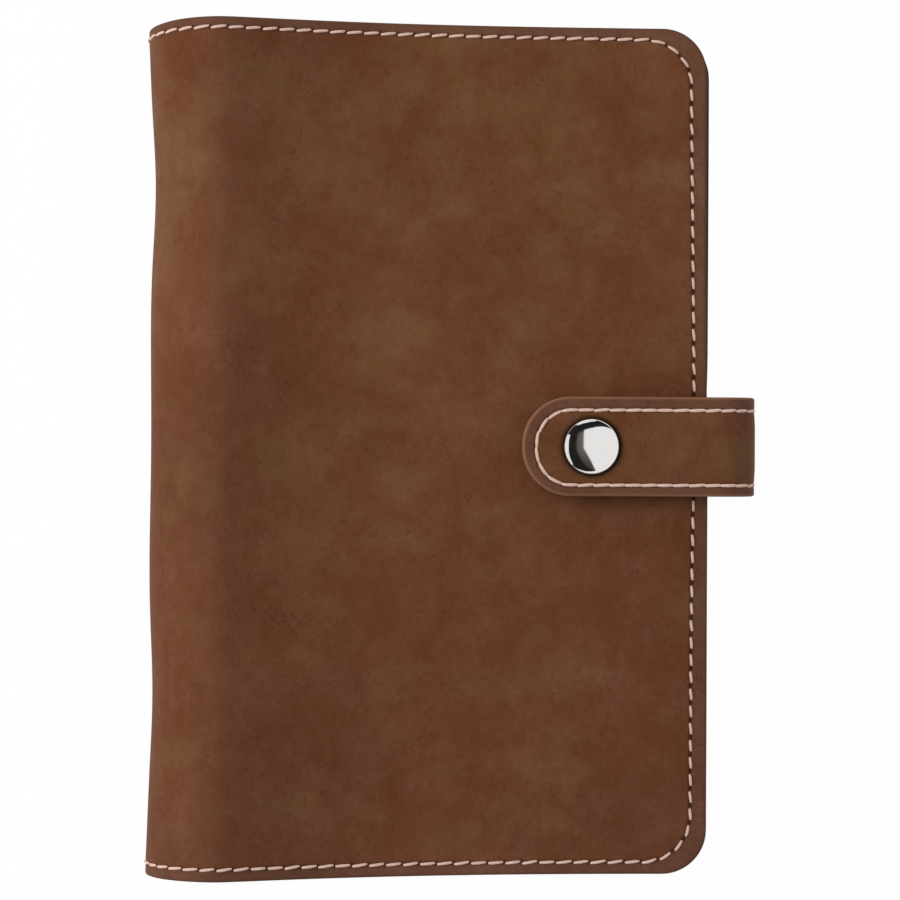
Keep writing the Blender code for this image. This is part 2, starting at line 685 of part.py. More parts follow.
def main():
    """Build the binder."""
    clear_scene()
    spine = joint_axis("spine_fold_axis", COVER.at(LOWER_FOLD))
    front = joint_axis("cover_fold_axis", COVER.at(UPPER_FOLD), spine)
    bend = joint_axis("strap_root_axis", STRAP.at(ROOT_FOLD))
    tongue = joint_axis("strap_fold_axis", STRAP.at(TONGUE_FOLD), bend)
    make_back_cover()
    make_spine(spine)
    make_front_cover(front)
    make_strap(bend, tongue)
    make_snap(tongue, front)
    make_plate(spine)
    make_rivets(spine)
    for name, side in (("upper", 1), ("lower", -1)):
        height = SPINE_MIDDLE + side * PIVOT_SIDE
        pivot = joint_axis(f"{name}_ring_axis", (PIVOT_X, 0.0, height), spine)
        make_rings(name, side, pivot)
    for name, end in (("head_lever", 1), ("tail_lever", -1)):
        pivot = joint_axis(f"{name}_axis", (LEVER_X, end * LEVER_Y, SPINE_MIDDLE), spine)
        make_lever(name, end, pivot)


main()
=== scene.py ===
"""Leather ring binder, dressed for its picture.

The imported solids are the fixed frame. Leather, lining, sewing, strap, snap and
ring mechanism are modelled over them, in metres, in the same frame: the spine is
at -X, the fore edge and the strap at +X, the head of the book at +Y.
"""

import math

import bpy
import numpy as np
from bpy.props import FloatProperty, FloatVectorProperty, PointerProperty
from mathutils import Matrix, Vector
from mathutils.kdtree import KDTree


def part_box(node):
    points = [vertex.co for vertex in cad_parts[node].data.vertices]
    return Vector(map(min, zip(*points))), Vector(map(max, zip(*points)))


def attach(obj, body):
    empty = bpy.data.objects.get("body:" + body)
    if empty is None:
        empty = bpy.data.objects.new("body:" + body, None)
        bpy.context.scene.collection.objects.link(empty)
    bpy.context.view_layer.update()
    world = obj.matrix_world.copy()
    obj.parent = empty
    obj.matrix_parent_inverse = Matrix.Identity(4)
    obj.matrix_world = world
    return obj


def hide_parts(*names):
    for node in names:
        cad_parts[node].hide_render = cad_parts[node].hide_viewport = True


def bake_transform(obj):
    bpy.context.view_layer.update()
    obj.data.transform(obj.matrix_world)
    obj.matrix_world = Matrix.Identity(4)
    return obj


bl_info = {
    "name": "Leather Ring Binder",
    "version": (1, 0, 0),
    "blender": (4, 5, 0),
    "location": "View3D > Sidebar > Binder",
    "description": "Models the leather, sewing, strap, snap and rings of a small binder",
    "category": "Add Mesh",
}

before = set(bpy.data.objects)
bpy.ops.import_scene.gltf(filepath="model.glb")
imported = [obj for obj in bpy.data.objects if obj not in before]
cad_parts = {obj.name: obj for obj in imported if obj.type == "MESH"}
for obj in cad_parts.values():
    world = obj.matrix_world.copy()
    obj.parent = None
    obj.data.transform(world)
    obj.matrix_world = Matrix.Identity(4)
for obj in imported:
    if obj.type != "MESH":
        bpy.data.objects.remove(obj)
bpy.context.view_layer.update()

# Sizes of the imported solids, which the leather, the lining and the metal follow
HALF_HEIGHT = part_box("back_cover_leather")[1][1]
FORE_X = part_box("back_cover_leather")[1][0]
SPINE_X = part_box("spine_leather")[0][0]
SPINE_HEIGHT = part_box("front_cover_leather")[1][2]
SPINE_MIDDLE = SPINE_HEIGHT / 2
SPINE_DEPTH = 0.0165
FORE_EDGE_HEIGHT = 0.0135
SLOPE_LENGTH = 0.044
SLOPE_POWER = 1.15
COVER_CORNER = 0.010
LEATHER = 0.0012
LINING = 0.0006
LINING_DEPTH = 0.0029
SPINE_LINING_DEPTH = 0.00362
SPINE_STRIP = 0.0008
STRIP_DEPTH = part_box("spine_backing_strip")[0][0] - SPINE_X
STRIP_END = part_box("spine_backing_strip")[1][1]
STRIP_REACH = 0.0126
STRAP_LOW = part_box("strap_tongue_leather")[0][1]
STRAP_TRIM = 0.00018
STRAP_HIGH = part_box("strap_tongue_leather")[1][1] - STRAP_TRIM
STRAP_MIDDLE = (STRAP_LOW + STRAP_HIGH) / 2
STRAP_LEATHER = 0.00124
STRAP_THICK = 0.0022
STRAP_TIP = 0.0108
STRAP_ROOT = 0.024
TONGUE_REACH = 0.0425
SNAP_FROM_TIP = 0.0155
SNAP_GAP = 0.0030
CAP_RADIUS = 0.00625
RING_WIRE = 0.0024
RING_RADIUS = 0.0082
RING_FOOT = 0.0046
RING_TIP_GAP = 0.00015
RINGS = 6
LEVER_PIVOT = 0.0730
PIN_HALF = 0.0061
PIN_KEPT = 0.0040
PIN_NEAR = 0.0010
POCKET = 0.0006
POCKET_INSET = 0.0030
POCKET_SEWN = 0.0011
HEM = 0.0030
SLIP_POCKET_WIDTH = 0.074
CARD_POCKET_WIDTH = 0.066
CARD_POCKET_HEIGHT = 0.080
CARD_POCKET_STEP = 0.018

# How the soft spine is pinched near its ends and flares at them
HEAD_PINCH = 0.0009
HEAD_PINCH_AT = 0.058
FOOT_PINCH = 0.0006
FOOT_PINCH_AT = 0.054
PINCH_REACH = 0.0163
FLARE = 0.0009
FLARE_REACH = 0.016
SPINE_REACH = 0.017
HEAD_DIP = 0.0015
DIP_REACH = 0.0135
UNEVEN = 0.00009

# How the fore edges lean towards the head, the back's outwards and the front's inwards
BACK_LEAN = 0.0008
BACK_LEAN_REACH = 0.055
FRONT_LEAN = 0.0006
FRONT_LEAN_REACH = 0.060

# How the cover's seam bows out and drops at its head corners, and where the strap's seam lies
SEAM_BOW = 0.0008
SEAM_BOW_AT = 0.025
SEAM_BOW_REACH = 0.045
SEAM_DROP = 0.0004
SEAM_STRAIGHT = 0.080
SEAM_REACH = 0.009
SEAM_WIDTH = 0.00045
STRAP_SEAM_TIP = 0.0031
STRAP_SEAM_LOW = 0.0025
STRAP_SEAM_HIGH = 0.0030
STRAP_SEAM_CORNER = 0.0079

# How deep a seam is pressed in, how high the thread stands and how much it varies
COVER_PRESS = 0.00020
BORDER_PRESS = 0.00010
STRAP_PRESS = 0.00022
CAP_PRESS = 0.00022
STRAP_SWELL = 0.00015
STITCH_RISE = 0.00052
STITCH_SINK = 0.00046
STITCH_LENGTHS = 0.015
STITCH_LEANS = 0.03
STITCH_HEIGHTS = 0.00004

# Small gaps between layers, insets of the inner ones and roundings of their edges
SEWN_GAP = 0.00003
POCKET_GAP = 0.00004
CARD_GAP = 0.00006
PLY_GAP = 0.00002
LINING_INSET = 0.00035
LINING_EDGE = 0.00025
POCKET_EDGE = 0.0003
POCKET_SLACK = 0.0002
HEM_FOLD = 0.00028
HEM_PRESS = 0.00010
STRAP_EDGE = 0.0006
STRAP_LINING_INSET = 0.00012
STRAP_LINING_EDGE = 0.0004

# How far from the spine's middle, and from the strap's bend, the leather starts and stops turning
FOLD_NEAR = 0.006
FOLD_FAR = 0.033
STRAP_FOLD_NEAR = 0.0015
STRAP_FOLD_FAR = 0.0125

# How finely lines are sampled and sheets divided, in from a sewn edge and elsewhere
SAMPLE = 0.0001
FINE = np.concatenate(([0.0, 0.00012, 0.00028, 0.00048, 0.00072],
                       np.arange(0.0010, 0.0064, 0.0003)))
POCKET_FINE = FINE[:18]
STRAP_FINE = FINE[:16]
COVER_STEP = 0.0014
STRAP_STEP = 0.0009
POCKET_STEP = 0.0022

# Profiles of the snap's inner parts, as radius and height, and the form of its cap
SOCKET_PROFILE = ((0.0018, -0.0004), (0.0022, -0.0017), (0.0026, -0.0019), (0.0044, -0.0019),
                  (0.0048, -0.0017), (0.0050, -0.0013), (0.0050, -0.0008), (0.0047, -0.0004),
                  (0.0036, -0.0001), (0.0010, 0.0))
STUD_PROFILE = ((0.0044, 0.0), (0.0046, 0.0003), (0.0045, 0.0006), (0.0042, 0.0007),
                (0.0018, 0.0008), (0.0016, 0.0011), (0.0017, 0.0013), (0.0020, 0.0015),
                (0.0019, 0.0017), (0.0016, 0.00184), (0.0011, 0.0019), (0.0004, 0.0019))
CAP_RISE = 0.0016
CAP_LIFT = 0.0007
CAP_ROLL = 0.00045

# The stage: camera, floor, lamps and the dark card
CAMERA_PLACE = (-0.00085, 0.00007, 0.732)
CAMERA_TURN = math.radians(0.27)
SENSOR = 36.0
LENS = 127.9
FLOOR_SIZE = 6.0
FLOOR_DROP = 0.0006
ROOM_LIGHT = 0.38
CARD_HEIGHT = 0.70


class BinderSizes(bpy.types.PropertyGroup):
    """Sizes of the sewing and the edges"""

    pitch: FloatProperty(
        name="Stitch Pitch", description="From one needle hole of the cover to the next",
        default=0.00385, unit="LENGTH")
    strap_pitch: FloatProperty(
        name="Strap Pitch", description="From one needle hole of the strap to the next",
        default=0.0036, unit="LENGTH")
    thread: FloatProperty(
        name="Thread", description="Width of a stitch",
        default=0.00070, unit="LENGTH")
    strap_thread: FloatProperty(
        name="Strap Thread", description="Width of a stitch of the strap",
        default=0.00078, unit="LENGTH")
    head_seam: FloatProperty(
        name="Head Seam", description="From the head edge to the seam",
        default=0.0023, unit="LENGTH")
    foot_seam: FloatProperty(
        name="Foot Seam", description="From the foot edge to the seam",
        default=0.0028, unit="LENGTH")
    fore_seam: FloatProperty(
        name="Fore Seam", description="From the fore edge to the seam",
        default=0.00365, unit="LENGTH")
    seam_corner: FloatProperty(
        name="Seam Corner", description="Radius of the seam at the cover's corners",
        default=0.0104, unit="LENGTH")
    edge: FloatProperty(
        name="Edge Rounding", description="Radius of the leather's outer edge",
        default=0.00065, unit="LENGTH")


class BinderColours(bpy.types.PropertyGroup):
    """Colours of the binder's finishes"""

    leather_red: FloatVectorProperty(
        name="Red Leather", description="Reddish clouds in the leather",
        default=(0.1262, 0.0431, 0.0184), subtype="COLOR", min=0.0, max=1.0)
    leather_olive: FloatVectorProperty(
        name="Olive Leather", description="Olive clouds in the leather",
        default=(0.1400, 0.0602, 0.0250), subtype="COLOR", min=0.0, max=1.0)
    leather_dark: FloatVectorProperty(
        name="Dark Leather", description="The cover's rim",
        default=(0.090, 0.036, 0.018), subtype="COLOR", min=0.0, max=1.0)
    leather_pale: FloatVectorProperty(
        name="Pale Leather", description="The strap's raw rim",
        default=(0.270, 0.130, 0.075), subtype="COLOR", min=0.0, max=1.0)
    border: FloatVectorProperty(
        name="Border", description="The leather between the seam and the edge",
        default=(0.122, 0.060, 0.040), subtype="COLOR", min=0.0, max=1.0)
    # Pale bloom of the brushed leather, which on the cover also carries a painted highlight along
    # the spine's shoulder.
    dust_and_highlight: FloatVectorProperty(
        name="Dust", description="The pale bloom on brushed leather",
        default=(0.141, 0.075, 0.0615), subtype="COLOR", min=0.0, max=1.0)
    # Painted shade in the needle holes and along the seam's pressed crease.
    hole: FloatVectorProperty(
        name="Needle Hole", description="The dark of the needle holes and the seam's crease",
        default=(0.026, 0.009, 0.004), subtype="COLOR", min=0.0, max=1.0)
    lining: FloatVectorProperty(
        name="Lining", description="Lining and pockets",
        default=(0.064, 0.030, 0.017), subtype="COLOR", min=0.0, max=1.0)
    thread: FloatVectorProperty(
        name="Thread", description="Sewing thread",
        default=(0.850, 0.585, 0.475), subtype="COLOR", min=0.0, max=1.0)
    board: FloatVectorProperty(
        name="Board", description="Stiffening board",
        default=(0.230, 0.205, 0.170), subtype="COLOR", min=0.0, max=1.0)
    chrome: FloatVectorProperty(
        name="Chrome", description="Snap cap and rings",
        default=(0.780, 0.770, 0.755), subtype="COLOR", min=0.0, max=1.0)
    nickel: FloatVectorProperty(
        name="Nickel", description="Mechanism, rivets and the inside of the snap",
        default=(0.660, 0.650, 0.630), subtype="COLOR", min=0.0, max=1.0)


def ease(value, low, high):
    """0 below low, 1 above high, and a smooth step between."""
    share = np.clip((value - low) / (high - low), 0.0, 1.0)
    return share * share * (3.0 - 2.0 * share)


def bell(value, width):
    """1 at 0, falling away over a width."""
    return np.exp(-np.square(value / width))


class Line:
    """A line across the binder, seen from its foot, that a sheet follows.

    Its points are (x, z), eased over a reach, and its outer side is on the left.
    """

    def __init__(self, points, reach):
        points = np.array(points)
        run = self.measure(points)
        even = np.linspace(0.0, run[-1], int(run[-1] / SAMPLE) + 1)
        points = np.stack([np.interp(even, run, points[:, k]) for k in (0, 1)], axis=1)
        width = int(3 * reach / SAMPLE)
        weights = bell(np.arange(-width, width + 1) * SAMPLE, reach)
        weights /= weights.sum()
        before = 2 * points[0] - points[width:0:-1]
        after = 2 * points[-1] - points[-2:-width - 2:-1]
        padded = np.concatenate((before, points, after))
        self.points = np.stack([np.convolve(padded[:, k], weights, "valid")
                                for k in (0, 1)], axis=1)
        self.run = self.measure(self.points)
        self.length = self.run[-1]
        tangent = np.gradient(self.points, self.run, axis=0)
        self.outward = np.stack((-tangent[:, 1], tangent[:, 0]), axis=1)

    @staticmethod
    def measure(points):
        """Distances along a row of points."""
        steps = np.diff(points, axis=0)
        return np.concatenate(([0.0], np.cumsum(np.hypot(steps[:, 0], steps[:, 1]))))

    def normal(self, u):
        """Outward directions, as x and z, at distances along the line."""
        x = np.interp(u, self.run, self.outward[:, 0])
        z = np.interp(u, self.run, self.outward[:, 1])
        size = np.hypot(x, z)
        return x / size, z / size

    def place(self, u, v, depth):
        """Points at distances u along the line, v along Y, at a depth under it."""
        x, z = self.normal(u)
        return np.stack((np.interp(u, self.run, self.points[:, 0]) - depth * x,
                         v + np.zeros_like(u),
                         np.interp(u, self.run, self.points[:, 1]) - depth * z), axis=-1)

    def point(self, u, v=0.0, depth=0.0):
        """One point, as a vector."""
        return Vector(self.place(np.array([float(u)]), v, depth)[0])


def cover_points():
    """The outer surface from the back's fore edge, round the spine, to the front's."""
    points = [(x, 0.0) for x in np.linspace(FORE_X, SPINE_X + SPINE_DEPTH, 200)]
    for angle in np.linspace(-math.pi / 2, math.pi / 2, 720)[1:-1]:
        x = SPINE_X + SPINE_DEPTH * (1 - math.cos(angle))
        points.append((x, SPINE_MIDDLE * (1 + math.sin(angle))))
    run = FORE_X - SPINE_X - SPINE_DEPTH
    drop = SPINE_HEIGHT - FORE_EDGE_HEIGHT
    full = 1 - math.exp(-((run / SLOPE_LENGTH) ** SLOPE_POWER))
    for along in np.linspace(0.0, run, 900):
        share = (1 - math.exp(-((along / SLOPE_LENGTH) ** SLOPE_POWER))) / full
        points.append((SPINE_X + SPINE_DEPTH + along, SPINE_HEIGHT - drop * share))
    return points


COVER = Line(cover_points(), 0.0012)
SPINE_RUN = float(COVER.run[np.argmin(COVER.points[:, 0])])


def strap_points():
    """The strap's outer surface from its tip, round the bend, to its root."""
    reach = np.linspace(COVER.length - TONGUE_REACH, COVER.length, 400)
    tongue = COVER.place(reach, 0.0, -(SNAP_GAP + STRAP_THICK))
    points = [(x, z) for x, _, z in tongue]
    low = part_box("strap_root_leather")[0][2]
    high = FORE_EDGE_HEIGHT + SNAP_GAP + STRAP_THICK
    radius = (high - low) / 2
    turn_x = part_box("strap_bend_leather")[1][0] - radius
    for angle in np.linspace(math.pi / 2, -math.pi / 2, 360):
        points.append((turn_x + radius * math.cos(angle), low + radius + radius * math.sin(angle)))
    points.append((FORE_X, low))
    points.append((FORE_X - STRAP_ROOT, low))
    return points


STRAP = Line(strap_points(), 0.0010)
BEND_RUN = float(STRAP.run[np.argmax(STRAP.points[:, 0])])
STRAP_IN = STRAP.length - STRAP_ROOT


class Outline:
    """A flat rectangle, u along and v across, with rounded corners at either end."""

    def __init__(self, start, end, low, high, start_corner=0.0, end_corner=0.0):
        self.start, self.end, self.low, self.high = start, end, low, high
        self.corners = (start_corner, end_corner)

    def inner(self, start, end, low, high, corner):
        """An outline inside this one, by its distances in from the four sides."""
        start_corner, end_corner = (corner if size else 0.0 for size in self.corners)
        return Outline(self.start + start, self.end - end, self.low + low,
                       self.high - high, start_corner, end_corner)

    def span(self, u):
        """The lowest and the highest v at each u."""
        short = np.zeros_like(u)
        for gap, corner in zip((u - self.start, self.end - u), self.corners):
            missing = np.clip(corner - gap, 0.0, corner)
            arc = np.sqrt(np.maximum(corner ** 2 - missing ** 2, 0.0))
            short = np.maximum(short, corner - arc)
        return self.low + short, self.high - short

    def inside(self, u, v):
        """How far each point lies in from the edge."""
        sides = (v - self.low, self.high - v)
        ends = (u - self.start, self.end - u)
        reach = np.minimum.reduce((*sides, *ends))
        for gap, corner in zip(ends, self.corners):
            for side in sides:
                arc = corner - np.hypot(corner - gap, corner - side)
                reach = np.where((gap < corner) & (side < corner), arc, reach)
        return reach


class Seam:
    """The path of a row of stitches over a flat sheet, with the sheet's middle on its right."""

    def __init__(self, path, pitch):
        path = np.array(path)
        run = Line.measure(path)
        self.length = run[-1]
        self.run = np.linspace(0.0, self.length, int(self.length / SAMPLE))
        self.points = np.stack([np.interp(self.run, run, path[:, k]) for k in (0, 1)], axis=1)
        self.heading = np.gradient(self.points, self.run, axis=0)
        self.count = round(self.length / pitch)
        self.pitch = self.length / self.count
        self.tree = KDTree(len(self.points))
        for index, (u, v) in enumerate(self.points):
            self.tree.insert((u, v, 0.0), index)
        self.tree.balance()

    @staticmethod
    def rounded(corners, radius):
        """A path through corners, with an arc at each one."""
        corners = np.array(corners, float)
        points = [corners[0]]
        for before, corner, after in zip(corners, corners[1:], corners[2:]):
            back = (before - corner) / np.hypot(*(before - corner))
            on = (after - corner) / np.hypot(*(after - corner))
            middle = corner + radius * (back + on)
            for turn in np.linspace(0.0, math.pi / 2, 24):
                points.append(middle - radius * (on * math.cos(turn) + back * math.sin(turn)))
        points.append(corners[-1])
        return np.array(points)

    def at(self, distance):
        """Places and headings at distances along the seam."""
        return [np.interp(distance, self.run, row[:, k])
                for row in (self.points, self.heading) for k in (0, 1)]

    def beside(self, u, v, near):
        """How far along the seam each point is, and how far in from it, for those near it."""
        along = np.zeros_like(u)
        inward = np.full_like(u, 0.05)
        for index in np.flatnonzero(near):
            place, nearest, _ = self.tree.find((u[index], v[index], 0.0))
            on_u, on_v = self.heading[nearest]
            off_u, off_v = u[index] - place.x, v[index] - place.y
            along[index] = self.run[nearest] + on_u * off_u + on_v * off_v
            inward[index] = on_v * off_u - on_u * off_v
        return along, inward


COVER_OUTLINE = Outline(0.0, COVER.length, -HALF_HEIGHT, HALF_HEIGHT, COVER_CORNER,
                        COVER_CORNER)
STRAP_OUTLINE = Outline(0.0, STRAP.length, STRAP_LOW, STRAP_HIGH, STRAP_TIP)


def cover_seam(sizes):
    """The seam round the cover from the spine's head, bowed towards the fore edges."""
    line = COVER_OUTLINE.inner(sizes.fore_seam, sizes.fore_seam, sizes.foot_seam,
                               sizes.head_seam, sizes.seam_corner)
    fore = [(line.end, v) for v in np.linspace(SEAM_STRAIGHT, -SEAM_STRAIGHT, 33)]
    back = [(line.start, v) for v in np.linspace(-SEAM_STRAIGHT, SEAM_STRAIGHT, 33)]
    front_half = Seam.rounded([(SPINE_RUN, line.high), (line.end, line.high), fore[0]],
                              sizes.seam_corner)
    foot_half = Seam.rounded([fore[-1], (line.end, line.low), (line.start, line.low), back[0]],
                             sizes.seam_corner)
    back_half = Seam.rounded([back[-1], (line.start, line.high), (SPINE_RUN, line.high)],
                             sizes.seam_corner)
    path = np.concatenate((front_half, fore[1:-1], foot_half, back[1:-1], back_half))
    off = path[:, 0] - SPINE_RUN
    outward = np.sign(off) * ease(np.abs(off), 0.09, 0.12)
    path[:, 0] += SEAM_BOW * outward * bell(path[:, 1] - SEAM_BOW_AT, SEAM_BOW_REACH)
    corner = ease(np.abs(path[:, 0] - SPINE_RUN), line.end - SPINE_RUN - 0.022,
                  line.end - SPINE_RUN - 0.006)
    path[:, 1] -= SEAM_DROP * corner * ease(path[:, 1], SEAM_STRAIGHT, HALF_HEIGHT)
    return Seam(path, sizes.pitch)


def strap_seam(sizes):
    """The seam round the strap, from one side of its root to the other."""
    line = STRAP_OUTLINE.inner(STRAP_SEAM_TIP, 0.0, STRAP_SEAM_LOW, STRAP_SEAM_HIGH,
                               STRAP_SEAM_CORNER)
    corners = [(STRAP_IN, line.low), (line.start, line.low), (line.start, line.high),
               (STRAP_IN, line.high)]
    return Seam(Seam.rounded(corners, STRAP_SEAM_CORNER), sizes.strap_pitch)


def cover_place(u, v, depth):
    """A point of the cover: the soft spine is pinched and flared, the rest is uneven."""
    wave = (np.sin(u * 61 + 0.7) * np.sin(v * 47 + 1.9) + np.sin(u * 29 + v * 83 + 0.4)
            + 0.7 * np.sin(v * 118 - u * 74 + 2.2))
    points = COVER.place(u, v, depth - UNEVEN * wave)
    pinch = (HEAD_PINCH * bell(v - HEAD_PINCH_AT, PINCH_REACH)
             + FOOT_PINCH * bell(v + FOOT_PINCH_AT, PINCH_REACH)
             - FLARE * np.exp(-(HALF_HEIGHT - v) / FLARE_REACH)
             - FLARE * np.exp(-(HALF_HEIGHT + v) / FLARE_REACH))
    dip = HEAD_DIP * bell(u - SPINE_RUN, DIP_REACH) * ease(v, 0.060, HALF_HEIGHT)
    back = BACK_LEAN * ease(v, -0.010, 0.024) * ease(BACK_LEAN_REACH - u, 0.0, BACK_LEAN_REACH)
    front = FRONT_LEAN * ease(v, -0.015, 0.045) * ease(u - COVER.length, -FRONT_LEAN_REACH, 0.0)
    points[..., 0] += pinch * bell(u - SPINE_RUN, SPINE_REACH)
    points[..., 1] -= dip
    points[..., 0] += back
    points[..., 0] -= front
    return points


def lining_depth(u, v):
    """How deep the lining lies: over the board, and up against the leather at the seam."""
    fold = ease(0.0225 - np.abs(u - SPINE_RUN), 0.0, 0.007)
    deep = LINING_DEPTH + (SPINE_LINING_DEPTH - LINING_DEPTH) * fold
    rise = 1 - ease(COVER_OUTLINE.inside(u, v), 0.0024, 0.0041)
    strap = (1 - ease(np.abs(v - STRAP_MIDDLE), 0.0118, 0.0160)) * ease(0.03 - u, 0.0, 0.01)
    return deep + (LEATHER + SEWN_GAP - deep) * rise * (1 - strap)


def rounded_edge(inside, radius):
    """How far a rounded edge falls, by the distance in from it."""
    short = np.clip(radius - inside, 0.0, radius)
    return radius - np.sqrt(radius ** 2 - short ** 2)


def level(depth):
    """The same depth all over a sheet."""
    return lambda u, v: depth + np.zeros_like(u)


def everywhere(u, v):
    """Every point of a sheet."""
    return np.ones_like(u, bool)


def fine_corner(reach):
    """Distances in from an edge, close together as far as its rounded corners reach."""
    return np.concatenate((FINE, np.arange(0.0069, reach, 0.0006)))


def spaced(start, end, step, fine_start, fine_end):
    """Distances from start to end, closer together at the ends."""
    first = start + np.asarray(fine_start)
    last = end - np.asarray(fine_end)[::-1]
    count = max(1, math.ceil((last[0] - first[-1]) / step))
    return np.concatenate((first, np.linspace(first[-1], last[0], count + 1)[1:-1], last))


def across(size, step, fine=FINE):
    """Shares across a sheet of that size, closer together at both edges."""
    return spaced(0.0, size, step, fine, fine) / size


def fresh():
    """Nothing selected, so that an operator takes only the new piece."""
    bpy.ops.object.select_all(action="DESELECT")


def take(name):
    """The object that was just added, under its name."""
    piece = bpy.context.object
    piece.name = name
    piece.data.name = name
    return piece


def add_piece(name, mesh):
    """A new piece with that mesh, selected alone."""
    fresh()
    piece = bpy.data.objects.new(name, mesh)
    bpy.context.collection.objects.link(piece)
    piece.select_set(True)
    bpy.context.view_layer.objects.active = piece
    return piece


SELECT_ALL = (bpy.ops.mesh.select_all, {"action": "SELECT"})
FACE_OUT = (bpy.ops.mesh.normals_make_consistent, {"inside": False})


def extrude(x, y, z):
    """The step that draws the selected face out by a distance."""
    return bpy.ops.mesh.extrude_region_move, {"TRANSFORM_OT_translate": {"value": (x, y, z)}}


def edit(*steps):
    """Run steps, each an operator and its settings, on the active mesh in edit mode."""
    bpy.ops.object.mode_set(mode="EDIT")
    for step, settings in (SELECT_ALL, *steps):
        step(**settings)
    bpy.ops.object.mode_set(mode="OBJECT")


def break_edges(piece, width, segments, angle):
    """Round the edges that are sharper than an angle in degrees."""
    rounding = piece.modifiers.new("edges", "BEVEL")
    rounding.width = width
    rounding.segments = segments
    rounding.limit_method = "ANGLE"
    rounding.angle_limit = math.radians(angle)
    bpy.ops.object.modifier_apply(modifier=rounding.name)


def smooth(angle):
    """Shade the active piece smooth, but for edges sharper than an angle in degrees."""
    bpy.ops.object.shade_smooth_by_angle(angle=math.radians(angle))


def store(mesh, name, values):
    """Keep a number at each point of a mesh."""
    field = mesh.attributes.new(name, "FLOAT", "POINT")
    field.data.foreach_set("value", np.asarray(values, np.float32))


def flat_map(mesh, name, u, v):
    """A UV map that holds two numbers of each point."""
    corners = np.empty(len(mesh.loops), np.int32)
    mesh.loops.foreach_get("vertex_index", corners)
    layer = mesh.uv_layers.new(name=name)
    layer.uv.foreach_set("vector", np.stack((u[corners], v[corners]), axis=1).ravel())


def lay_sheet(name, outline, us, shares, place, top, bottom, fields=None):
    """A closed sheet over a flat outline, between two depths."""
    fresh()
    bpy.ops.mesh.primitive_grid_add(x_subdivisions=len(us) - 1,
                                    y_subdivisions=len(shares) - 1, size=1.0,
                                    calc_uvs=False)
    piece = take(name)
    mesh = piece.data
    count = len(mesh.vertices)
    flat = np.empty(count * 3)
    mesh.vertices.foreach_get("co", flat)
    flat = flat.reshape(-1, 3) + 0.5
    u = us[np.rint(flat[:, 0] * (len(us) - 1)).astype(int)]
    share = shares[np.rint(flat[:, 1] * (len(shares) - 1)).astype(int)]
    low, high = outline.span(u)
    v = low + (high - low) * share
    near = fields(u, v) if fields else {}
    edit((bpy.ops.mesh.extrude_region_move, {}))
    points = np.concatenate((place(u, v, bottom(u, v)), place(u, v, top(u, v, **near))))
    mesh.vertices.foreach_set("co", points.ravel())
    mesh.update()
    edit(FACE_OUT)
    flat_map(mesh, "flat", np.tile(u, 2), np.tile(v, 2))
    for field, values in near.items():
        store(mesh, field, np.tile(values, 2))
    smooth(50)
    return piece


def turn_piece(name, profile, place, axis, sides):
    """A turned piece: a disc drawn up through a profile of (radius, height)."""
    fresh()
    radius, height = profile[0]
    bpy.ops.mesh.primitive_circle_add(vertices=sides, radius=radius, fill_type="NGON")
    piece = take(name)
    piece.data.transform(Matrix.Translation((0.0, 0.0, height)))
    steps = []
    for wide, high in profile[1:]:
        share = wide / radius
        steps.append(extrude(0.0, 0.0, high - height))
        steps.append((bpy.ops.transform.resize, {"value": (share, share, 1.0),
                                                 "center_override": (0.0, 0.0, high)}))
        radius, height = wide, high
    edit(*steps, SELECT_ALL, FACE_OUT)
    turn = Vector(axis).to_track_quat("Z", "Y").to_matrix().to_4x4()
    piece.data.transform(Matrix.Translation(place) @ turn)
    smooth(35)
    return piece


def model_stitch(pitch, width, share):
    """One stitch, a short tube that rises from one hole and dives into the next."""
    fresh()
    bpy.ops.mesh.primitive_circle_add(vertices=8, radius=width / 2, fill_type="NGON",
                                      rotation=(0.0, math.pi / 2, 0.0))
    piece = take("stitch")
    bpy.ops.object.transform_apply(location=True, rotation=True, scale=True)
    piece.data.transform(Matrix.Translation((-pitch / 2, 0.0, 0.0)))
    stops = (0.0, 0.06, 0.13, 0.24, 0.5, 0.76, 0.87, 0.94, 1.0)
    steps = [extrude(pitch * (stop - at), 0.0, 0.0) for at, stop in zip(stops, stops[1:])]
    edit(*steps, SELECT_ALL, FACE_OUT)
    points = np.array([vertex.co for vertex in piece.data.vertices])
    faces = [tuple(face.vertices) for face in piece.data.polygons]
    bpy.data.objects.remove(piece)
    around = np.arctan2(points[:, 2], points[:, 1]) / math.tau
    rise = np.sqrt(np.maximum(np.cos(math.pi * points[:, 0] / (pitch * 1.06)), 0.0))
    points[:, 1] *= 0.55 + 0.45 * rise
    points[:, 2] = points[:, 2] * 0.8 + (STITCH_RISE * rise - STITCH_SINK)
    points[:, 0] *= share
    return points, faces, around


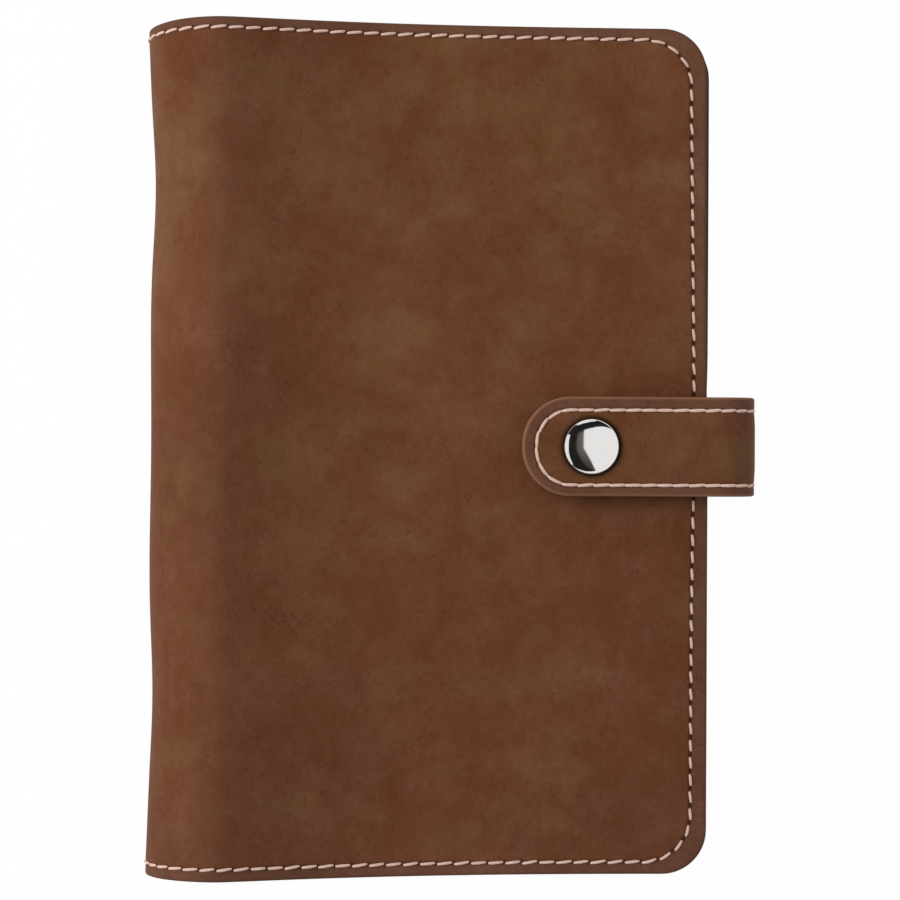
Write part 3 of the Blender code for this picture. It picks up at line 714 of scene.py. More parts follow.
def sew(name, stitch, seam, place, depth, keep, side=1.0, slant=0.0, tight=0.0):
    """A row of thread: the stitch copied along a seam, on the outside or the inside.

    The stitches lean by a slant, and those along Y are pulled tight, so they are shorter.
    """
    shape, faces, around = stitch
    spread = np.random.default_rng(len(name))
    middles = (np.arange(seam.count) + 0.5) * seam.pitch
    middle_u, middle_v, _, down = seam.at(middles)
    kept = keep(middle_u, middle_v)
    middles = middles[kept]
    count = len(middles)
    vary = spread.normal(0.0, 1.0, (count, 3))
    pull = 1 - tight * np.abs(down[kept])[:, None]
    along = shape[None, :, 0] * (pull + STITCH_LENGTHS * vary[:, :1])
    lean = slant + STITCH_LEANS * vary[:, 1:2]
    sideways = shape[None, :, 1] + along * lean
    up = shape[None, :, 2] + STITCH_HEIGHTS * vary[:, 2:3]
    u, v, run_u, run_v = seam.at((middles[:, None] + along).ravel())
    sideways = sideways.ravel()
    flat_u = u - sideways * run_v
    flat_v = v + sideways * run_u
    points = place(flat_u, flat_v, depth(u, v) - side * up.ravel())
    size = len(shape)
    mesh = bpy.data.meshes.new(name)
    mesh.from_pydata(points.tolist(), [], [tuple(corner + size * copy for corner in face)
                                           for copy in range(count) for face in faces])
    piece = add_piece(name, mesh)
    edit(FACE_OUT)
    flat_map(mesh, "twist", np.tile(shape[:, 0], count), np.tile(around, count))
    smooth(60)
    return piece


def copy_node(node, name, bevel):
    """A solid's own shape, merged, with its edges broken."""
    piece = add_piece(name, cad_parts[node].data.copy())
    piece.data.name = name
    edit((bpy.ops.mesh.remove_doubles, {"threshold": 0.000002}),
         (bpy.ops.mesh.dissolve_limited, {"angle_limit": math.radians(0.6)}))
    break_edges(piece, bevel, 2, 35)
    smooth(40)
    return piece


class Value:
    """A shader socket that takes part in sums, which add their Math nodes."""

    def __init__(self, finish, socket):
        self.finish = finish
        self.socket = socket

    def maths(self, operation, first, second=0.0):
        """A Math node on two values or numbers."""
        return self.finish.node("ShaderNodeMath", {"operation": operation},
                                {0: first, 1: second})

    def __add__(self, other):
        return self.maths("ADD", self, other)

    def __sub__(self, other):
        return self.maths("SUBTRACT", self, other)

    def __rsub__(self, other):
        return self.maths("SUBTRACT", other, self)

    def __mul__(self, other):
        return self.maths("MULTIPLY", self, other)

    def __truediv__(self, other):
        return self.maths("DIVIDE", self, other)

    def __neg__(self):
        return self.maths("SUBTRACT", 0.0, self)

    __radd__ = __add__
    __rmul__ = __mul__

    def bell(self, width):
        """1 at 0, falling away over a width."""
        share = self / width
        return self.maths("EXPONENT", -(share * share))

    def ease(self, low, high):
        """0 below low, 1 above high, and a smooth step between."""
        return self.finish.node("ShaderNodeMapRange", {"interpolation_type": "SMOOTHSTEP"},
                                {"Value": self, "From Min": low, "From Max": high})


class Finish:
    """A material in the making, whose values feed its Principled shader."""

    def __init__(self, name):
        self.material = bpy.data.materials.new(name)
        self.material.use_nodes = True
        self.tree = self.material.node_tree
        self.shader = self.tree.nodes["Principled BSDF"]

    def node(self, kind, settings=None, sockets=None, output=0):
        """Any node: its settings first, then its sockets' values or links."""
        made = self.tree.nodes.new(kind)
        for key, value in (settings or {}).items():
            setattr(made, key, value)
        for key, value in (sockets or {}).items():
            self.feed(made.inputs[key], value)
        return Value(self, made.outputs[output])

    def feed(self, socket, value):
        """Link a value to a socket, or set the socket to a number or colour."""
        if isinstance(value, Value):
            self.tree.links.new(value.socket, socket)
        else:
            socket.default_value = value

    def set(self, **sockets):
        """Feed the shader's own sockets, named with _ for a space."""
        for key, value in sockets.items():
            self.feed(self.shader.inputs[key.replace("_", " ")], value)

    def field(self, name):
        """A number kept at the mesh's points."""
        return self.node("ShaderNodeAttribute", {"attribute_name": name}, None, "Fac")

    def parts(self, place):
        """The first two numbers of a place, each by itself."""
        first = self.node("ShaderNodeSeparateXYZ", None, {0: place})
        return first, Value(self, first.socket.node.outputs[1])

    def flat(self, name="flat"):
        """The piece's own flat map."""
        return self.node("ShaderNodeUVMap", {"uv_map": name})

    def solid(self):
        """The object's own coordinates."""
        return self.node("ShaderNodeTexCoord", None, None, "Object")

    def cloud(self, place, scale, detail=2.0, shift=0.0, stretch=(1.0, 1.0, 1.0), rough=0.6):
        """Soft noise about a scale of features to the metre."""
        moved = self.node("ShaderNodeMapping", None, {
            "Vector": place, "Location": (shift, shift * 0.7, shift * 0.3), "Scale": stretch})
        return self.node("ShaderNodeTexNoise", None, {
            "Vector": moved, "Scale": scale, "Detail": detail, "Roughness": rough})

    def mix(self, first, second, share):
        """One colour over another."""
        return self.node("ShaderNodeMix", {"data_type": "RGBA"},
                         {0: share, 6: first, 7: second}, 2)

    def shade(self, colour, share):
        """A colour made darker or lighter by a number about 1."""
        plain = colour if isinstance(colour, Value) else colour[:3]
        return self.node("ShaderNodeVectorMath", {"operation": "SCALE"},
                         {0: plain, "Scale": share})

    def bump(self, height, distance):
        """Relief for the shader's normal."""
        self.set(Normal=self.node("ShaderNodeBump", None, {
            "Height": height, "Distance": distance, "Strength": 1.0}))


def colour(name):
    """One of the binder's colours, with its alpha."""
    return (*getattr(bpy.context.scene.binder_colours, name), 1.0)


def finished(name, paint, *settings):
    """The material of that name, painted when it is first asked for."""
    found = bpy.data.materials.get(name)
    if found:
        return found
    made = Finish(name)
    paint(made, *settings)
    return made.material


def paint_leather(made, pitch, strap):
    """Soft brushed leather: clouds of brown, scuffs, and a pressed seam with needle holes; its
    colour also holds painted light across the cover, painted shade in the holes and the crease, and
    a painted shadow round the snap cap.
    """
    flat = made.flat()
    seam = made.field("seam")
    edge = made.field("edge")
    along, up = made.parts(flat)
    hue = made.cloud(flat, 62, 5, 3.1, (0.85, 1.0, 1.0), 0.66) + (up * 0.55 + 0.04 * strap)
    body = made.mix(colour("leather_red"), colour("leather_olive"), hue.ease(0.455, 0.68))
    body = made.mix(body, colour("border"), seam.ease(0.0008, -0.0006) * 0.5)
    tone = made.cloud(flat, 20, 1, 6.2)
    mottle = made.cloud(flat, 68, 6, 1.7, (1.0, 0.8, 1.0), 0.93)
    worn = made.cloud(flat, 70, 3, 5.3).ease(0.45, 0.62)
    fleck = made.cloud(flat, 1050, 2, 9.1, (1.0, 0.7, 1.0)).ease(0.55, 0.72) * worn
    scuff = made.cloud(flat, 120, 4, 7.7, (0.8, 1.0, 1.0), 0.7).ease(0.48, 0.70)
    bent = made.node("ShaderNodeVectorMath", {"operation": "MULTIPLY_ADD"},
                     {0: made.cloud(flat, 330, 2, 4.1), 1: (0.0055, -0.0045, 0.0), 2: flat})
    crack = made.node("ShaderNodeTexVoronoi",
                      {"voronoi_dimensions": "2D", "feature": "DISTANCE_TO_EDGE"},
                      {"Vector": bent, "Scale": 480.0}).ease(0.15, 0.0)
    crack = crack * scuff
    # Painted light: the leather is made lighter towards the head, as the lamp would light it, over
    # a random tone.
    tone_and_painted_light = 0.82 + tone * 0.4 + up * 0.4
    pale = mottle * mottle + scuff * 0.05 - 0.262
    if not strap:
        away = along.maths("ABSOLUTE", along - SPINE_RUN)
        # Painted light: a lighter band about 75 mm round from the spine's middle, standing in for
        # light on the cover's slope.
        tone_and_painted_light = tone_and_painted_light * (1.0 + (away - 0.075).bell(0.028) * 0.14)
        # Paler along the spine's shoulder: partly wear, partly a painted highlight where the bulge
        # would catch the lamp.
        pale = pale + (away - 0.0235).bell(0.0075) * 0.085
    body = made.shade(body, tone_and_painted_light - fleck * 0.18 - crack * 0.22)
    dust_and_highlight = made.shade(colour("dust_and_highlight"), pale)
    body = made.node("ShaderNodeVectorMath", {"operation": "ADD"}, {0: body, 1: dust_and_highlight})
    rim = edge.ease(0.0008, 0.0001)
    if strap:
        body = made.mix(body, colour("leather_pale"), rim * 0.8)
        # Painted shadow: a dark ring round the snap cap, where the strap is pressed and a little
        # dirt gathers.
        body = made.shade(body, 1 - made.field("cap").bell(0.0007) * 0.9)
    else:
        body = made.mix(body, colour("leather_dark"), rim * 0.5)
    # Painted shade: the needle holes and the seam's crease are darkened as if shade fell in them,
    # the cover's holes less so at its head and foot.
    spot = made.field("run").maths("PINGPONG", made.field("run"), pitch / 2)
    hole = spot.bell(0.00050) * seam.bell(0.00044)
    crease = seam.bell(0.00050)
    shallow = 0.40 if strap else up.maths("ABSOLUTE", up).ease(0.086, 0.091) * 0.3
    body = made.mix(body, colour("hole"), hole * (0.82 - shallow) + crease * 0.2)
    made.set(Base_Color=body, Roughness=0.62 + mottle * 0.22, Specular_IOR_Level=0.18)
    made.bump(mottle * 1.2 - fleck * 0.5 - crack * 0.3 - hole * 2.5 - crease * 0.5, 0.00012)


def paint_lining(made):
    """Smooth dark lining with a small pebbled grain."""
    flat = made.flat()
    pebble = made.node("ShaderNodeTexVoronoi", {"feature": "SMOOTH_F1"},
                       {"Vector": flat, "Scale": 1150.0, "Smoothness": 0.5}, "Distance")
    worn = made.cloud(flat, 26, 4, 2.2)
    fine = made.cloud(flat, 900, 2, 4.4)
    body = made.shade(colour("lining"), 0.62 + worn * 0.5 + fine * 0.24)
    made.set(Base_Color=body, Roughness=0.55 + worn * 0.2, Specular_IOR_Level=0.13)
    made.bump(-pebble + fine * 0.3, 0.00010)


def paint_thread(made):
    """Waxed thread: two plies twisted together."""
    twist, around = made.parts(made.flat("twist"))
    ply = twist.maths("SINE", (twist / 0.00085 + around) * (2 * math.tau))
    fibre = made.cloud(made.solid(), 2600, 2)
    # Painted shade: the grooves between the twisted plies are darkened in the colour.
    body = made.shade(colour("thread"), 0.86 + ply * 0.06 + fibre * 0.24)
    made.set(Base_Color=body, Roughness=0.62, Specular_IOR_Level=0.3)
    made.bump(ply * 0.6 + fibre * 0.5, 0.00009)


def paint_board(made):
    """Grey fibre board."""
    place = made.solid()
    fibre = made.cloud(place, 700, 4, 0.0, (1.0, 0.3, 1.0))
    fleck = made.cloud(place, 2200, 2, 3.0)
    body = made.shade(colour("board"), 0.72 + fibre * 0.4 + fleck * 0.16)
    made.set(Base_Color=body, Roughness=0.86 + fleck * 0.1)
    made.bump(fibre, 0.00008)


def paint_chrome(made):
    """Polished chrome with faint wipe marks."""
    wipe = made.cloud(made.solid(), 260, 4, 0.0, (1.0, 0.25, 1.0))
    made.set(Base_Color=made.shade(colour("chrome"), 0.96 + wipe * 0.05), Metallic=1.0,
             Roughness=0.05 + wipe * 0.05)


def paint_nickel(made):
    """Satin nickel plate, brushed along the binder."""
    place = made.solid()
    brush = made.cloud(place, 1400, 3, 0.0, (1.0, 0.06, 1.0))
    haze = made.cloud(place, 90, 3, 5.0)
    made.set(Base_Color=made.shade(colour("nickel"), 0.90 + haze * 0.16), Metallic=1.0,
             Roughness=0.20 + brush * 0.10 + haze * 0.08)
    made.bump(brush, 0.000012)


def lining_finish():
    """The lining's material."""
    return finished("pebbled_lining", paint_lining)


def thread_finish():
    """The thread's material."""
    return finished("thread", paint_thread)


def chrome_finish():
    """The material of the cap and the rings."""
    return finished("polished_chrome", paint_chrome)


def nickel_finish():
    """The material of the mechanism and the snap's inner parts."""
    return finished("satin_nickel", paint_nickel)


def dress(piece, finish):
    """Give a piece its finish."""
    piece.data.materials.clear()
    piece.data.materials.append(finish)


def stand_for(piece, node, body):
    """Let a piece take one node's place and ride its body."""
    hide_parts(node)
    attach(piece, body)


def fold_ends(end):
    """Where the spine's leather starts and stops turning: at the front or the back."""
    if end == "front":
        return COVER.point(SPINE_RUN + FOLD_NEAR), COVER.point(SPINE_RUN + FOLD_FAR)
    return COVER.point(SPINE_RUN - FOLD_FAR), COVER.point(SPINE_RUN - FOLD_NEAR)


def bend_cover(piece, end):
    """Bake a piece's transform into its mesh; the points where the fold would start and stop are
    found but not used.
    """
    start, stop = fold_ends(end)
    if end == "front":
        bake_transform(piece)
    else:
        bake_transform(piece)


def bend_strap(piece, part):
    """Bake a piece's transform into its mesh; the points at the strap's bend are found but not
    used.
    """
    if part == "upper":
        STRAP.point(BEND_RUN - STRAP_FOLD_NEAR)
        STRAP.point(BEND_RUN - STRAP_FOLD_FAR)
        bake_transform(piece)
    else:
        STRAP.point(BEND_RUN + STRAP_FOLD_FAR)
        STRAP.point(BEND_RUN + STRAP_FOLD_NEAR)
        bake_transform(piece)


def cover_range(end):
    """Distances along one half of the cover, from the spine's middle to its fore edge."""
    corner = fine_corner(0.0110)
    middle = [0.0, 0.0003, 0.0007, 0.0013]
    if end == "front":
        return spaced(SPINE_RUN, COVER.length, COVER_STEP, middle, corner)
    return spaced(0.0, SPINE_RUN, COVER_STEP, corner, middle)


def lay_cover(end, sizes, replaced):
    """The outer leather of one half of the cover."""
    seam = cover_seam(sizes)

    def top(u, v, edge, seam, run):
        fall = rounded_edge(edge, sizes.edge)
        return fall + COVER_PRESS * bell(seam, SEAM_WIDTH) + BORDER_PRESS * ease(-seam, 0.0, 0.0012)

    def fields(u, v):
        edge = COVER_OUTLINE.inside(u, v)
        run, off = seam.beside(u, v, edge < SEAM_REACH)
        if end == "front":
            run = np.where(run > 0.75 * seam.length, run - seam.length, run)
        else:
            run = np.where((run < 0.25 * seam.length) & (v > 0), run + seam.length, run)
        return {"edge": edge, "seam": off, "run": run}

    piece = lay_sheet(f"{end}_leather", COVER_OUTLINE, cover_range(end),
                      across(2 * HALF_HEIGHT, COVER_STEP), cover_place, top,
                      level(LEATHER), fields)
    dress(piece, finished("cover_leather", paint_leather, seam.pitch, False))
    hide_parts(*replaced)
    bend_cover(piece, end)


def lay_lining(end, replaced):
    """The lining of one half of the cover."""
    inset = LINING_INSET
    outline = COVER_OUTLINE.inner(inset, inset, inset, inset, COVER_CORNER - inset)
    us = np.clip(cover_range(end), outline.start, outline.end)

    def bottom(u, v):
        fall = rounded_edge(outline.inside(u, v), LINING_EDGE)
        return lining_depth(u, v) + LINING - fall

    piece = lay_sheet(f"{end}_lining_sheet", outline, np.unique(us),
                      across(2 * HALF_HEIGHT, COVER_STEP), cover_place, lining_depth, bottom)
    dress(piece, lining_finish())
    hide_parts(*replaced)
    bend_cover(piece, end)


class BINDER_OT_front_cover(bpy.types.Operator):
    """Lay the front cover's leather and lining, from the middle of the spine"""

    bl_idname = "binder.front_cover"
    bl_label = "Front Cover"

    def execute(self, context):
        lay_cover("front", context.scene.binder_sizes, ("front_cover_leather", "spine_leather"))
        lay_lining("front", ("front_lining", "spine_lining"))
        return {"FINISHED"}


class BINDER_OT_back_cover(bpy.types.Operator):
    """Lay the back cover's leather and lining, up to the middle of the spine"""

    bl_idname = "binder.back_cover"
    bl_label = "Back Cover"

    def execute(self, context):
        lay_cover("back", context.scene.binder_sizes, ("back_cover_leather",))
        lay_lining("back", ("back_lining",))
        return {"FINISHED"}


class BINDER_OT_boards(bpy.types.Operator):
    """Finish the boards, the spine's strip and the post inside the covers"""

    bl_idname = "binder.boards"
    bl_label = "Boards"

    def execute(self, context):
        board = finished("fibre_board", paint_board)
        for node in ("front_board", "back_board"):
            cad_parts[node].data.materials[0] = board
        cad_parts["snap_stud_post"].data.materials[0] = nickel_finish()
        outline = Outline(SPINE_RUN - STRIP_REACH, SPINE_RUN + STRIP_REACH, -STRIP_END, STRIP_END)
        strip = lay_sheet("spine_strip", outline, np.linspace(outline.start, outline.end, 40),
                          np.linspace(0.0, 1.0, 61), cover_place, level(STRIP_DEPTH),
                          level(STRIP_DEPTH + SPINE_STRIP))
        dress(strip, board)
        stand_for(strip, "spine_backing_strip", "spine")
        return {"FINISHED"}


def pockets():
    """Each pocket's name, node, body, outline, layer and open edge."""
    side = HALF_HEIGHT - POCKET_SEWN
    corner = COVER_CORNER - POCKET_SEWN
    end = COVER.length - POCKET_SEWN
    inner = COVER.length - POCKET_INSET
    found = [("front_slip", "front_slip_pocket", "front_cover",
              Outline(inner - SLIP_POCKET_WIDTH, end, -side, side, 0.0, corner), 0, "start")]
    for layer in (1, 2):
        top = POCKET_INSET - HALF_HEIGHT + CARD_POCKET_HEIGHT - (layer - 1) * CARD_POCKET_STEP
        found.append((f"card_pocket_{layer}", f"front_card_pocket_{layer}", "front_cover",
                      Outline(inner - CARD_POCKET_WIDTH, end, -side, top, 0.0, corner), layer,
                      "high"))
    found.append(("back_slip", "back_slip_pocket", "back_cover",
                  Outline(POCKET_SEWN, POCKET_INSET + SLIP_POCKET_WIDTH, -side, side, corner),
                  0, "end"))
    return found


def pocket_rest(outline, layer):
    """How deep a pocket lies on the lining, or on the pockets under it."""
    def rest(u, v):
        slack = POCKET_SLACK * ease(outline.inside(u, v), 0.005, 0.020)
        return lining_depth(u, v) + LINING + POCKET_GAP + layer * (POCKET + CARD_GAP) + slack
    return rest


def pocket_face(outline, layer, hem):
    """How deep a pocket's open side lies, with a folded hem along its open edge."""
    rest = pocket_rest(outline, layer)

    def face(u, v):
        open_edge = {"start": u - outline.start, "end": outline.end - u,
                     "high": outline.high - v}[hem]
        fold = HEM_FOLD * (1 - ease(open_edge, 0.0042, 0.0050))
        fall = rounded_edge(outline.inside(u, v), POCKET_EDGE)
        dip = HEM_PRESS * bell(open_edge - HEM, 0.0004)
        return rest(u, v) + POCKET + fold - fall - dip
    return face


def inside_face(u, v):
    """How deep the inside lies: the lining, or the last pocket that is sewn on it."""
    depth = lining_depth(u, v) + LINING
    for _, _, _, outline, layer, hem in pockets():
        face = pocket_face(outline, layer, hem)(u, v)
        depth = np.where(outline.inside(u, v) > 0.0, np.maximum(depth, face), depth)
    return depth


def inside_row(name, sizes, stitch, ends, body):
    """A straight row of stitches on the inside, between two flat points."""
    seam = Seam(ends, sizes.pitch)
    piece = sew(name, stitch, seam, cover_place, inside_face, everywhere, -1.0)
    dress(piece, thread_finish())
    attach(piece, body)


class BINDER_OT_pockets(bpy.types.Operator):
    """Lay the slip pockets and the card pockets, with their hems sewn down"""

    bl_idname = "binder.pockets"
    bl_label = "Pockets"

    def execute(self, context):
        sizes = context.scene.binder_sizes
        stitch = model_stitch(sizes.pitch, sizes.thread, 0.84)
        foot = sizes.foot_seam - HALF_HEIGHT
        head = HALF_HEIGHT - sizes.head_seam
        fore = COVER.length - sizes.fore_seam
        for name, node, body, outline, layer, hem in pockets():
            us = spaced(outline.start, outline.end, POCKET_STEP, POCKET_FINE, POCKET_FINE)
            shares = across(outline.high - outline.low, POCKET_STEP, POCKET_FINE)
            piece = lay_sheet(name, outline, us, shares, cover_place,
                              pocket_rest(outline, layer), pocket_face(outline, layer, hem))
            dress(piece, lining_finish())
            stand_for(piece, node, body)
            row = {"start": outline.start + HEM, "end": outline.end - HEM}.get(hem)
            ends = ([(row, foot), (row, head)] if row else
                    [(outline.start + HEM, outline.high - HEM), (fore, outline.high - HEM)])
            inside_row(f"{name}_thread", sizes, stitch, ends, body)
            if layer == 1:
                row = outline.start + HEM
                inside_row("card_side_thread", sizes, stitch,
                           [(row, foot), (row, outline.high - HEM)], body)
        return {"FINISHED"}


def lay_strap(part, sizes):
    """The strap's leather and lining, from its tip to the bend or from there to its root."""
    seam = strap_seam(sizes)
    width = STRAP_HIGH - STRAP_LOW
    shares = across(width, STRAP_STEP, STRAP_FINE)
    if part == "upper":
        us = spaced(0.0, BEND_RUN, STRAP_STEP, fine_corner(0.0115), [0.0, 0.0002])
        nodes = ("strap_tongue", "strap_bend")
    else:
        us = spaced(BEND_RUN, STRAP.length, STRAP_STEP, [0.0, 0.0002], [0.0])
        nodes = ("strap_root",)

    def top(u, v, edge, seam, run, cap):
        fall = rounded_edge(edge, STRAP_EDGE)
        press = CAP_PRESS * bell(np.maximum(cap, 0.0), 0.0012)
        swell = STRAP_SWELL * ease(seam, 0.0004, 0.0040)
        return fall + STRAP_PRESS * bell(seam, SEAM_WIDTH) + press - swell

    def fields(u, v):
        edge = STRAP_OUTLINE.inside(u, v)
        run, off = seam.beside(u, v, edge < SEAM_REACH)
        cap = np.hypot(u - SNAP_FROM_TIP, v - STRAP_MIDDLE) - CAP_RADIUS
        return {"edge": edge, "seam": off, "run": run, "cap": cap}

    leather = lay_sheet(f"strap_{part}_face", STRAP_OUTLINE, us, shares, STRAP.place, top,
                        level(STRAP_LEATHER), fields)
    dress(leather, finished("strap_leather", paint_leather, seam.pitch, True))
    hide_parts(*(f"{node}_leather" for node in nodes))
    bend_strap(leather, part)
    inset = STRAP_LINING_INSET
    outline = STRAP_OUTLINE.inner(inset, 0.0, inset, inset, STRAP_TIP - inset)
    if part == "lower":
        us = us[us < STRAP_IN - 0.0002]

    def bottom(u, v):
        return STRAP_THICK - rounded_edge(outline.inside(u, v), STRAP_LINING_EDGE)

    lining = lay_sheet(f"strap_{part}_back", outline, np.unique(np.clip(us, inset, None)),
                       shares, STRAP.place, level(STRAP_LEATHER + PLY_GAP), bottom)
    dress(lining, lining_finish())
    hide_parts(*(f"{node}_lining" for node in nodes))
    bend_strap(lining, part)


class BINDER_OT_strap(bpy.types.Operator):
    """Lay the closing strap's two layers, from its tip round the bend to its root"""

    bl_idname = "binder.strap"
    bl_label = "Strap"

    def execute(self, context):
        for part in ("upper", "lower"):
            lay_strap(part, context.scene.binder_sizes)
        return {"FINISHED"}


class BINDER_OT_sewing(bpy.types.Operator):
    """Sew the cover and the strap, outside and inside"""

    bl_idname = "binder.sewing"
    bl_label = "Sewing"

    def execute(self, context):
        sizes = context.scene.binder_sizes
        seam = cover_seam(sizes)
        stitch = model_stitch(seam.pitch, sizes.thread, 0.88)
        sides = {"front": lambda u, v: u >= SPINE_RUN, "back": lambda u, v: u < SPINE_RUN}
        for end, keep in sides.items():
            outer = sew(f"{end}_thread", stitch, seam, cover_place, level(0.0), keep, 1.0,
                        0.11, 0.24)
            inner = sew(f"{end}_inner_thread", stitch, seam, cover_place, inside_face, keep,
                        -1.0, 0.05)
            for piece in (outer, inner):
                dress(piece, thread_finish())
                bend_cover(piece, end)
        seam = strap_seam(sizes)
        stitch = model_stitch(seam.pitch, sizes.strap_thread, 1.05)
        parts = {"upper": lambda u, v: u <= BEND_RUN, "lower": lambda u, v: u > BEND_RUN}
        for part, keep in parts.items():
            outer = sew(f"strap_{part}_thread", stitch, seam, STRAP.place,
                        lambda u, v: 0.00025 * bell(u - BEND_RUN, 0.007), keep, 1.0, 0.04)
            inner = sew(f"strap_{part}_inner_thread", stitch, seam, STRAP.place,
                        level(STRAP_THICK), keep, -1.0, 0.05)
            for piece in (outer, inner):
                dress(piece, thread_finish())
                bend_strap(piece, part)
        return {"FINISHED"}


def cap_profile():
    """The snap cap's profile: the rim under the strap's face, the rolled edge and the dome."""
    top = STRAP_THICK
    dome = [(CAP_RADIUS * math.cos(turn), top + CAP_LIFT + CAP_RISE * math.sin(turn))
            for turn in np.linspace(0.30, math.pi / 2 - 0.02, 28)]
    edge, high = dome[0]
    profile = [(0.0055, top - 0.0002), (0.0060, top + 0.0001), (0.00618, top + 0.0003)]
    for out in (1.0, 0.98, 0.94, 0.86, 0.74, 0.58, 0.38, 0.18):
        step = (CAP_RADIUS - edge) * out
        fall = 0.82 * step + CAP_ROLL * (1 - math.sqrt(1 - out * out))
        profile.append((edge + step, high - fall))
    return profile + dome


class BINDER_OT_snap(bpy.types.Operator):
    """Turn the snap: the domed cap and the socket on the strap, the stud on the cover"""

    bl_idname = "binder.snap"
    bl_label = "Snap"

    def execute(self, context):
        run = COVER.length - TONGUE_REACH + SNAP_FROM_TIP
        face = COVER.point(run, STRAP_MIDDLE)
        x, z = (float(part[0]) for part in COVER.normal(np.array([run])))
        outward = Vector((x, 0.0, z))
        under = face + SNAP_GAP * outward
        cap = turn_piece("cap_dome", cap_profile(), under, outward, 96)
        dress(cap, chrome_finish())
        stand_for(cap, "snap_cap", "strap_tongue")
        socket = turn_piece("socket_ring", SOCKET_PROFILE, under, outward, 64)
        dress(socket, nickel_finish())
        stand_for(socket, "snap_socket", "strap_tongue")
        stud = turn_piece("stud_ball", STUD_PROFILE, face, outward, 64)
        dress(stud, nickel_finish())
        stand_for(stud, "snap_stud", "front_cover")
        return {"FINISHED"}


def model_half_ring():
    """The upper half of a ring at Y 0: a disc spun round the ring and run down to its foot."""
    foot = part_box("upper_ring_1")[0][0]
    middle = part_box("upper_ring_1")[1][0] - RING_RADIUS - RING_WIRE / 2
    first = math.asin(RING_TIP_GAP / RING_RADIUS)
    last = math.pi - math.asin(RING_FOOT / RING_RADIUS)
    fresh()
    bpy.ops.mesh.primitive_circle_add(
        vertices=20, radius=RING_WIRE / 2, fill_type="NGON",
        location=(middle + RING_RADIUS * math.cos(first), 0.0,
                  SPINE_MIDDLE + RING_RADIUS * math.sin(first)))
    piece = take("half_ring")
    bpy.ops.object.transform_apply(location=True, rotation=True, scale=True)
    reach = middle + RING_RADIUS * math.cos(last) - foot
    edit((bpy.ops.mesh.spin, {"steps": 36, "angle": last - first, "axis": (0.0, 1.0, 0.0),
                              "center": (middle, 0.0, SPINE_MIDDLE)}),
         extrude(-reach, 0.0, 0.0), SELECT_ALL,
         (bpy.ops.mesh.remove_doubles, {"threshold": 0.000001}), FACE_OUT)
    break_edges(piece, 0.00022, 3, 60)
    smooth(50)
    return piece


class BINDER_OT_rings(bpy.types.Operator):
    """Bend one half ring and set its twelve copies on the blades"""

    bl_idname = "binder.rings"
    bl_label = "Rings"

    def execute(self, context):
        model = model_half_ring()
        over = Matrix.Translation((0.0, 0.0, SPINE_HEIGHT)) @ Matrix.Diagonal((1, 1, -1, 1))
        for side in ("upper", "lower"):
            for number in range(1, RINGS + 1):
                node = f"{side}_ring_{number}"
                low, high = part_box(node)
                mesh = model.data.copy()
                if side == "lower":
                    mesh.transform(over)
                    mesh.flip_normals()
                mesh.transform(Matrix.Translation((0.0, (low[1] + high[1]) / 2, 0.0)))
                mesh.name = f"{side}_half_ring_{number}"
                ring = add_piece(mesh.name, mesh)
                dress(ring, chrome_finish())
                stand_for(ring, node, f"{side}_rings")
        bpy.data.objects.remove(model)
        return {"FINISHED"}


class BINDER_OT_mechanism(bpy.types.Operator):
    """Dress the arched plate, the blades, the levers and the rivets"""

    bl_idname = "binder.mechanism"
    bl_label = "Mechanism"

    def execute(self, context):
        pieces = (("mechanism_plate", "arched_plate", "spine", 0.00018),
                  ("upper_blade", "upper_blade_strip", "upper_rings", 0.00012),
                  ("lower_blade", "lower_blade_strip", "lower_rings", 0.00012),
                  ("head_lever", "head_opener", "head_lever", 0.00018),
                  ("tail_lever", "tail_opener", "tail_lever", 0.00018),
                  ("head_rivet", "head_rivet_dome", "spine", 0.0001),
                  ("tail_rivet", "tail_rivet_dome", "spine", 0.0001))
        for node, name, body, bevel in pieces:
            piece = copy_node(node, name, bevel)
            if node.endswith("lever"):
                self.shorten_pin(piece)
            dress(piece, nickel_finish())
            stand_for(piece, node, body)
        return {"FINISHED"}

    def shorten_pin(self, piece):
        """Keep the ends of a lever's hidden pin clear of the lining, which bulges as it folds."""
        for vertex in piece.data.vertices:
            off = vertex.co.z - SPINE_MIDDLE
            if abs(abs(vertex.co.y) - LEVER_PIVOT) < PIN_NEAR and abs(off) > PIN_KEPT:
                vertex.co.z -= math.copysign(PIN_HALF - PIN_KEPT, off)


